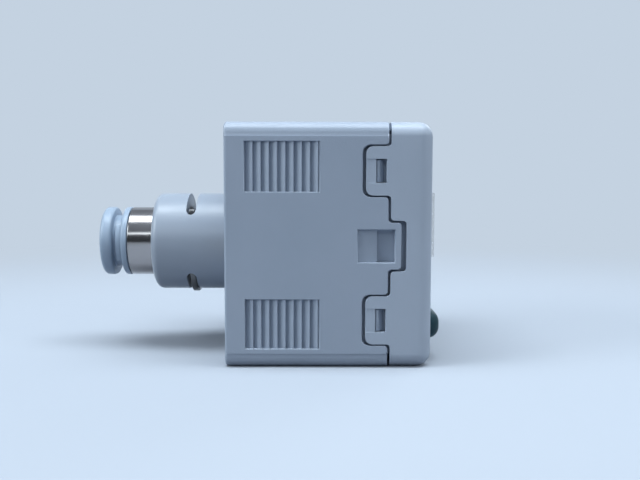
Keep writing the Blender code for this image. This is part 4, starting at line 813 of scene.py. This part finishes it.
# %% [markdown]
# ## Display segments
#
# Without power the display is dark, and its seven-segment digits show only as faint grey bars. A bar is
# a thin block with pointed ends. One flat and one upright bar are modelled, and they are copied to the
# seven places of each of the four digits.

# %% Piece: unlit display segments
digit_height, digit_width, digit_pitch, bar_width = 6.6, 3.4, 5.0, 0.62
digit_middle = (lens_low.z + lens_high.z) / 2
bar_gap, bar_back, bar_front = 0.08, 0.01, 0.03


def bar(name, length, upright):
    """One segment at the middle of the display: a thin block whose two ends are pointed."""
    half = length / 2 - bar_gap
    size_y, size_z = (bar_width / 2, half) if upright else (half, bar_width / 2)
    piece = box(name, (lcd_high.x + bar_back, -size_y, digit_middle - size_z),
                (lcd_high.x + bar_front, size_y, digit_middle + size_z))
    choose_edges(piece, lambda edge: spans(edge, X, 0.01))
    bpy.ops.mesh.bevel(offset=(bar_width / 2 - 0.01) * MM, segments=1, affect="EDGES")
    bpy.ops.object.mode_set(mode="OBJECT")
    return piece


flat_bar = bar("flat_bar", digit_width, upright=False)
upright_bar = bar("upright_bar", digit_height / 2, upright=True)
bars = []
for digit in range(4):
    middle = (digit - 1.5) * digit_pitch
    for row in (-1, 0, 1):
        bars.append(placed_copy(flat_bar, "bar", (0.0, middle, row * digit_height / 2)))
    for side in (-1, 1):
        for row in (-1, 1):
            shift = (0.0, middle + side * digit_width / 2, row * digit_height / 4)
            bars.append(placed_copy(upright_bar, "bar", shift))
for pattern in (flat_bar, upright_bar):
    bpy.data.objects.remove(pattern, do_unlink=True)
take_up(bars[0])
for piece in bars:
    piece.select_set(True)
bpy.ops.object.join()
segments = bpy.context.object
segments.name = segments.data.name = "display_segments"
print("segments:", len(bars))
smooth(segments, segment_grey, "casing")

# %% [markdown]
# ## Thread inserts
#
# Two brass inserts in the rear face take the screws of a bracket. The thread is an M3 one with a pitch
# of 0.5 mm. At this size a helix and a stack of rings look the same, so the bore is drawn as rings. One
# insert is turned, and the other is its copy.

# %% Pieces: thread inserts
thread_pitch, thread_turns, thread_crest, thread_root, insert_radius = 0.5, 7, 1.25, 1.5, 2.1
low, high = box_mm("thread_insert_near")
thread = []
for turn in range(thread_turns):
    start = low.x + 0.3 + thread_pitch * turn
    thread += [(start, thread_crest), (start + 0.2, thread_root), (start + 0.28, thread_root)]
outside = [(low.x, 2.02), (low.x + 0.08, insert_radius), (high.x, insert_radius),
           (high.x, thread_crest)]
mouth = [(low.x + 0.15, thread_crest), (low.x, 1.4)]
insert_axis = ((low.y + high.y) / 2 * MM, (low.z + high.z) / 2 * MM)
near_insert = turned("thread_insert_near_threaded", outside + thread[::-1] + mouth, 64, insert_axis)
far_insert = placed_copy(near_insert, "thread_insert_far_threaded", box_mm("thread_insert_far")[0] - low)
smooth(near_insert, bare_brass, "casing", "thread_insert_near", slot="brass")
smooth(far_insert, bare_brass, "casing", "thread_insert_far", slot="brass")
print("thread turns:", thread_turns, "faces", len(near_insert.data.polygons), "each")

# %% [markdown]
# ## Lead socket
#
# The socket is a copy of the CAD solid with softened edges where it shows in the rear face. Its contact
# pins keep their CAD shape.

# %% Piece: lead socket
socket_band, socket_edge_radius = 0.3, 0.08
socket = merged_copy("lead_socket", "lead_socket_shell")
count = round_edges(socket, lambda edge: outward(edge, 50)
                    and middle_of(edge).x < rear_x + socket_band * MM, socket_edge_radius, 2)
print("socket edges rounded:", count)
smooth(socket, black_plastic, "casing", "lead_socket", slot="black_plastic")

# %% [markdown]
# ## CAD parts that keep their shape
#
# The parts below are right as they are, and only get their finish.

# %% Finishes on the carried-over parts
finishes = {
    "tube_collet": spring_steel, "pressure_sensor": spring_steel,
    "board_screw_lower": spring_steel, "board_screw_upper": spring_steel,
    "tube_seal": seal_rubber, "sleeve_seal_ring": seal_rubber, "sensor_seal_ring": seal_rubber,
    "lcd_panel": display_glass, "light_guide": holder_plastic, "board_holder": holder_plastic,
    "display_board": board_green, "main_board": board_green,
    "link_plug": black_plastic, "link_socket": black_plastic,
    "push_switch_down": black_plastic, "push_switch_set": black_plastic,
    "push_switch_up": black_plastic,
}
for number in range(1, 6):
    finishes[f"contact_pin_{number}"] = gold_plate
for name, material in finishes.items():
    nodes[name].data.materials.clear()
    nodes[name].data.materials.append(material)
print("CAD parts finished:", len(finishes))

# %% [markdown]
# ## Floor and backdrop
#
# A plain pale sweep, a floor that curves up into a backdrop, keeps the horizon out of the picture. It is
# a plane whose rear edge is pulled up into a wall, with the fold between them rounded. Its sizes are in
# metres.

# %% Floor and backdrop
sweep_size, sweep_middle_y, wall_height, fold_radius = 1.6, 0.2, 1.0, 0.35
rear_edge_y = sweep_middle_y + sweep_size / 2 - 0.01
deselect()
bpy.ops.mesh.primitive_plane_add(size=sweep_size, location=(0.0, sweep_middle_y, 0.0))
sweep = bpy.context.object
sweep.name = "floor_sweep"
bpy.ops.object.transform_apply(location=True, rotation=True, scale=True)
choose_edges(sweep, lambda edge: middle_of(edge).y > rear_edge_y, faces=1)
bpy.ops.mesh.extrude_region_move(TRANSFORM_OT_translate={"value": (0.0, 0.0, wall_height)})
choose_edges(sweep, lambda edge: middle_of(edge).y > rear_edge_y)
bpy.ops.mesh.bevel(offset=fold_radius, segments=16, profile=0.5, affect="EDGES")
bpy.ops.object.mode_set(mode="OBJECT")
bpy.ops.object.shade_smooth()
print("sweep faces:", len(sweep.data.polygons))

# %% [markdown]
# Seen directly or in a reflection the paper is pale, and away from the object it fades to one even pale
# tone. The light that it throws back on the object comes from a darker grey, which keeps the undersides
# as shaded as those of the real one. Inputs 6 and 7 of a colour mix are its two colours.

# %% Finish: backdrop paper
fade_from, fade_to = 0.045, 0.16
material, tree, shader, place = new_finish("pale_backdrop_paper", Roughness=0.9, Specular_IOR_Level=0.2)
path = add(tree, "LightPath").outputs
direct = add(tree, "Math", {0: path["Is Camera Ray"], 1: path["Is Glossy Ray"]}, operation="MAXIMUM")
direct = add(tree, "Math", {0: direct.outputs[0], 1: path["Is Transmission Ray"]}, operation="MAXIMUM")
paper = add(tree, "Mix", {0: direct.outputs[0], 6: linear("767b84"), 7: linear("aeb4be")},
            data_type="RGBA")
tree.links.new(paper.outputs[2], shader.inputs["Base Color"])
reach = add(tree, "VectorMath", {0: place}, operation="LENGTH")
far = add(tree, "MapRange", {"Value": reach.outputs["Value"], "From Min": fade_from,
                             "From Max": fade_to}, interpolation_type="SMOOTHSTEP")
far = add(tree, "Math", {0: far.outputs[0], 1: direct.outputs[0]}, operation="MULTIPLY")
glow = add(tree, "Emission", {"Color": linear("c4d2e1"), "Strength": 1.0})
blend = add(tree, "MixShader", {0: far.outputs[0], 1: shader.outputs[0], 2: glow.outputs[0]})
tree.links.new(blend.outputs[0], tree.nodes["Material Output"].inputs["Surface"])
sweep.data.materials.append(material)
print("paper nodes:", len(tree.nodes))

# %% [markdown]
# ## Lamps and surroundings
#
# Five soft lamps of a slightly cool daylight light the object. A long strip overhead gives the bright
# top of the casing and the bright band along the fitting. The left and right lamps shade the side, a
# narrow strip in front draws the thin line on the sleeve, and one behind lights the far side.

# %% Lamps
cool_daylight = (0.85, 0.945, 1.0)
aim = Vector((0.0, 0.0, 0.015))


def soft_lamp(name, watts, length, width, place):
    """A rectangular area lamp that looks at the object. Its sides and its place are in metres."""
    lamp = bpy.data.lights.new(name, "AREA")
    lamp.energy = watts
    lamp.color = cool_daylight
    lamp.shape = "RECTANGLE"
    lamp.size, lamp.size_y = length, width
    holder = bpy.data.objects.new(name, lamp)
    holder.location = place
    holder.rotation_mode = "QUATERNION"
    holder.rotation_quaternion = (aim - Vector(place)).to_track_quat("-Z", "Y")
    bpy.context.scene.collection.objects.link(holder)


soft_lamp("overhead_strip", 2.85, 0.6, 0.18, (0.0, -0.042, 0.46))
soft_lamp("left_soft", 1.28, 0.25, 0.25, (-0.42, -0.16, 0.24))
soft_lamp("front_strip", 0.265, 0.5, 0.05, (0.0, -0.45, 0.265))
soft_lamp("right_soft", 0.53, 0.3, 0.3, (0.45, -0.12, 0.2))
soft_lamp("rear_soft", 0.65, 0.25, 0.25, (0.3, 0.4, 0.28))
print("lamps:", [lamp.name for lamp in bpy.data.lights])

# %% [markdown]
# The surroundings are dark low down and brighter overhead, as in a room with a pale ceiling. A ray from
# the camera, or one that has passed the clear window, sees them evenly pale.

# %% Surroundings
ceiling_glow = ((0.0, 0.05), (0.3, 0.12), (0.6, 0.34), (1.0, 0.6))
world = bpy.data.worlds.new("studio")
bpy.context.scene.world = world
world.use_nodes = True
sky = world.node_tree
path = add(sky, "LightPath").outputs
seen = add(sky, "Math", {0: path["Is Camera Ray"], 1: path["Is Transmission Ray"]}, operation="MAXIMUM")
upward = add(sky, "SeparateXYZ", {"Vector": add(sky, "TexCoord").outputs["Generated"]})
height = add(sky, "ValToRGB", {"Fac": upward.outputs["Z"]})
while len(height.color_ramp.elements) < len(ceiling_glow):
    height.color_ramp.elements.new(0.5)
for step, (position, level) in zip(height.color_ramp.elements, ceiling_glow):
    step.position, step.color = position, (level, level, level, 1.0)
strength = add(sky, "Mix", {0: seen.outputs[0], 6: height.outputs["Color"], 7: (0.8, 0.8, 0.8, 1.0)},
               data_type="RGBA")
background = sky.nodes["Background"]
background.inputs["Color"].default_value = linear("d8e7f9")
sky.links.new(strength.outputs[2], background.inputs["Strength"])
print("brightness steps from the horizon up:", [level for position, level in ceiling_glow])

# %% [markdown]
# ## Camera
#
# The camera stands where the photographer's did: about 100 mm from the near side, a little above the
# middle and looking 5 degrees down. Its place was fitted from the casing's corners. The picture is 640
# pixels wide, and in pixels the focal length is 830.

# %% Camera
picture_px, focal_px, sensor_mm = 640, 830, 36.0
camera_place_mm = (-1.186, -114.99, 24.62)
yaw, pitch, roll = (math.radians(v) for v in (0.177, 5.065, 0.133))
forward = Vector((math.sin(yaw) * math.cos(pitch), math.cos(yaw) * math.cos(pitch), -math.sin(pitch)))
level = forward.cross(Vector((0.0, 0.0, 1.0))).normalized()
upright = level.cross(forward)
right = math.cos(roll) * level + math.sin(roll) * upright
up = -math.sin(roll) * level + math.cos(roll) * upright
camera = bpy.data.objects.new("photo_camera", bpy.data.cameras.new("photo_camera"))
placing = Matrix((right, up, -forward)).transposed().to_4x4()
placing.translation = Vector(camera_place_mm) * MM
camera.matrix_world = placing
camera.data.sensor_width = sensor_mm
camera.data.lens = focal_px / picture_px * sensor_mm
camera.data.clip_start = 1 * MM
bpy.context.scene.collection.objects.link(camera)
bpy.context.scene.camera = camera
bpy.context.scene.view_settings.view_transform = "Standard"
print("lens in mm:", round(camera.data.lens, 2))
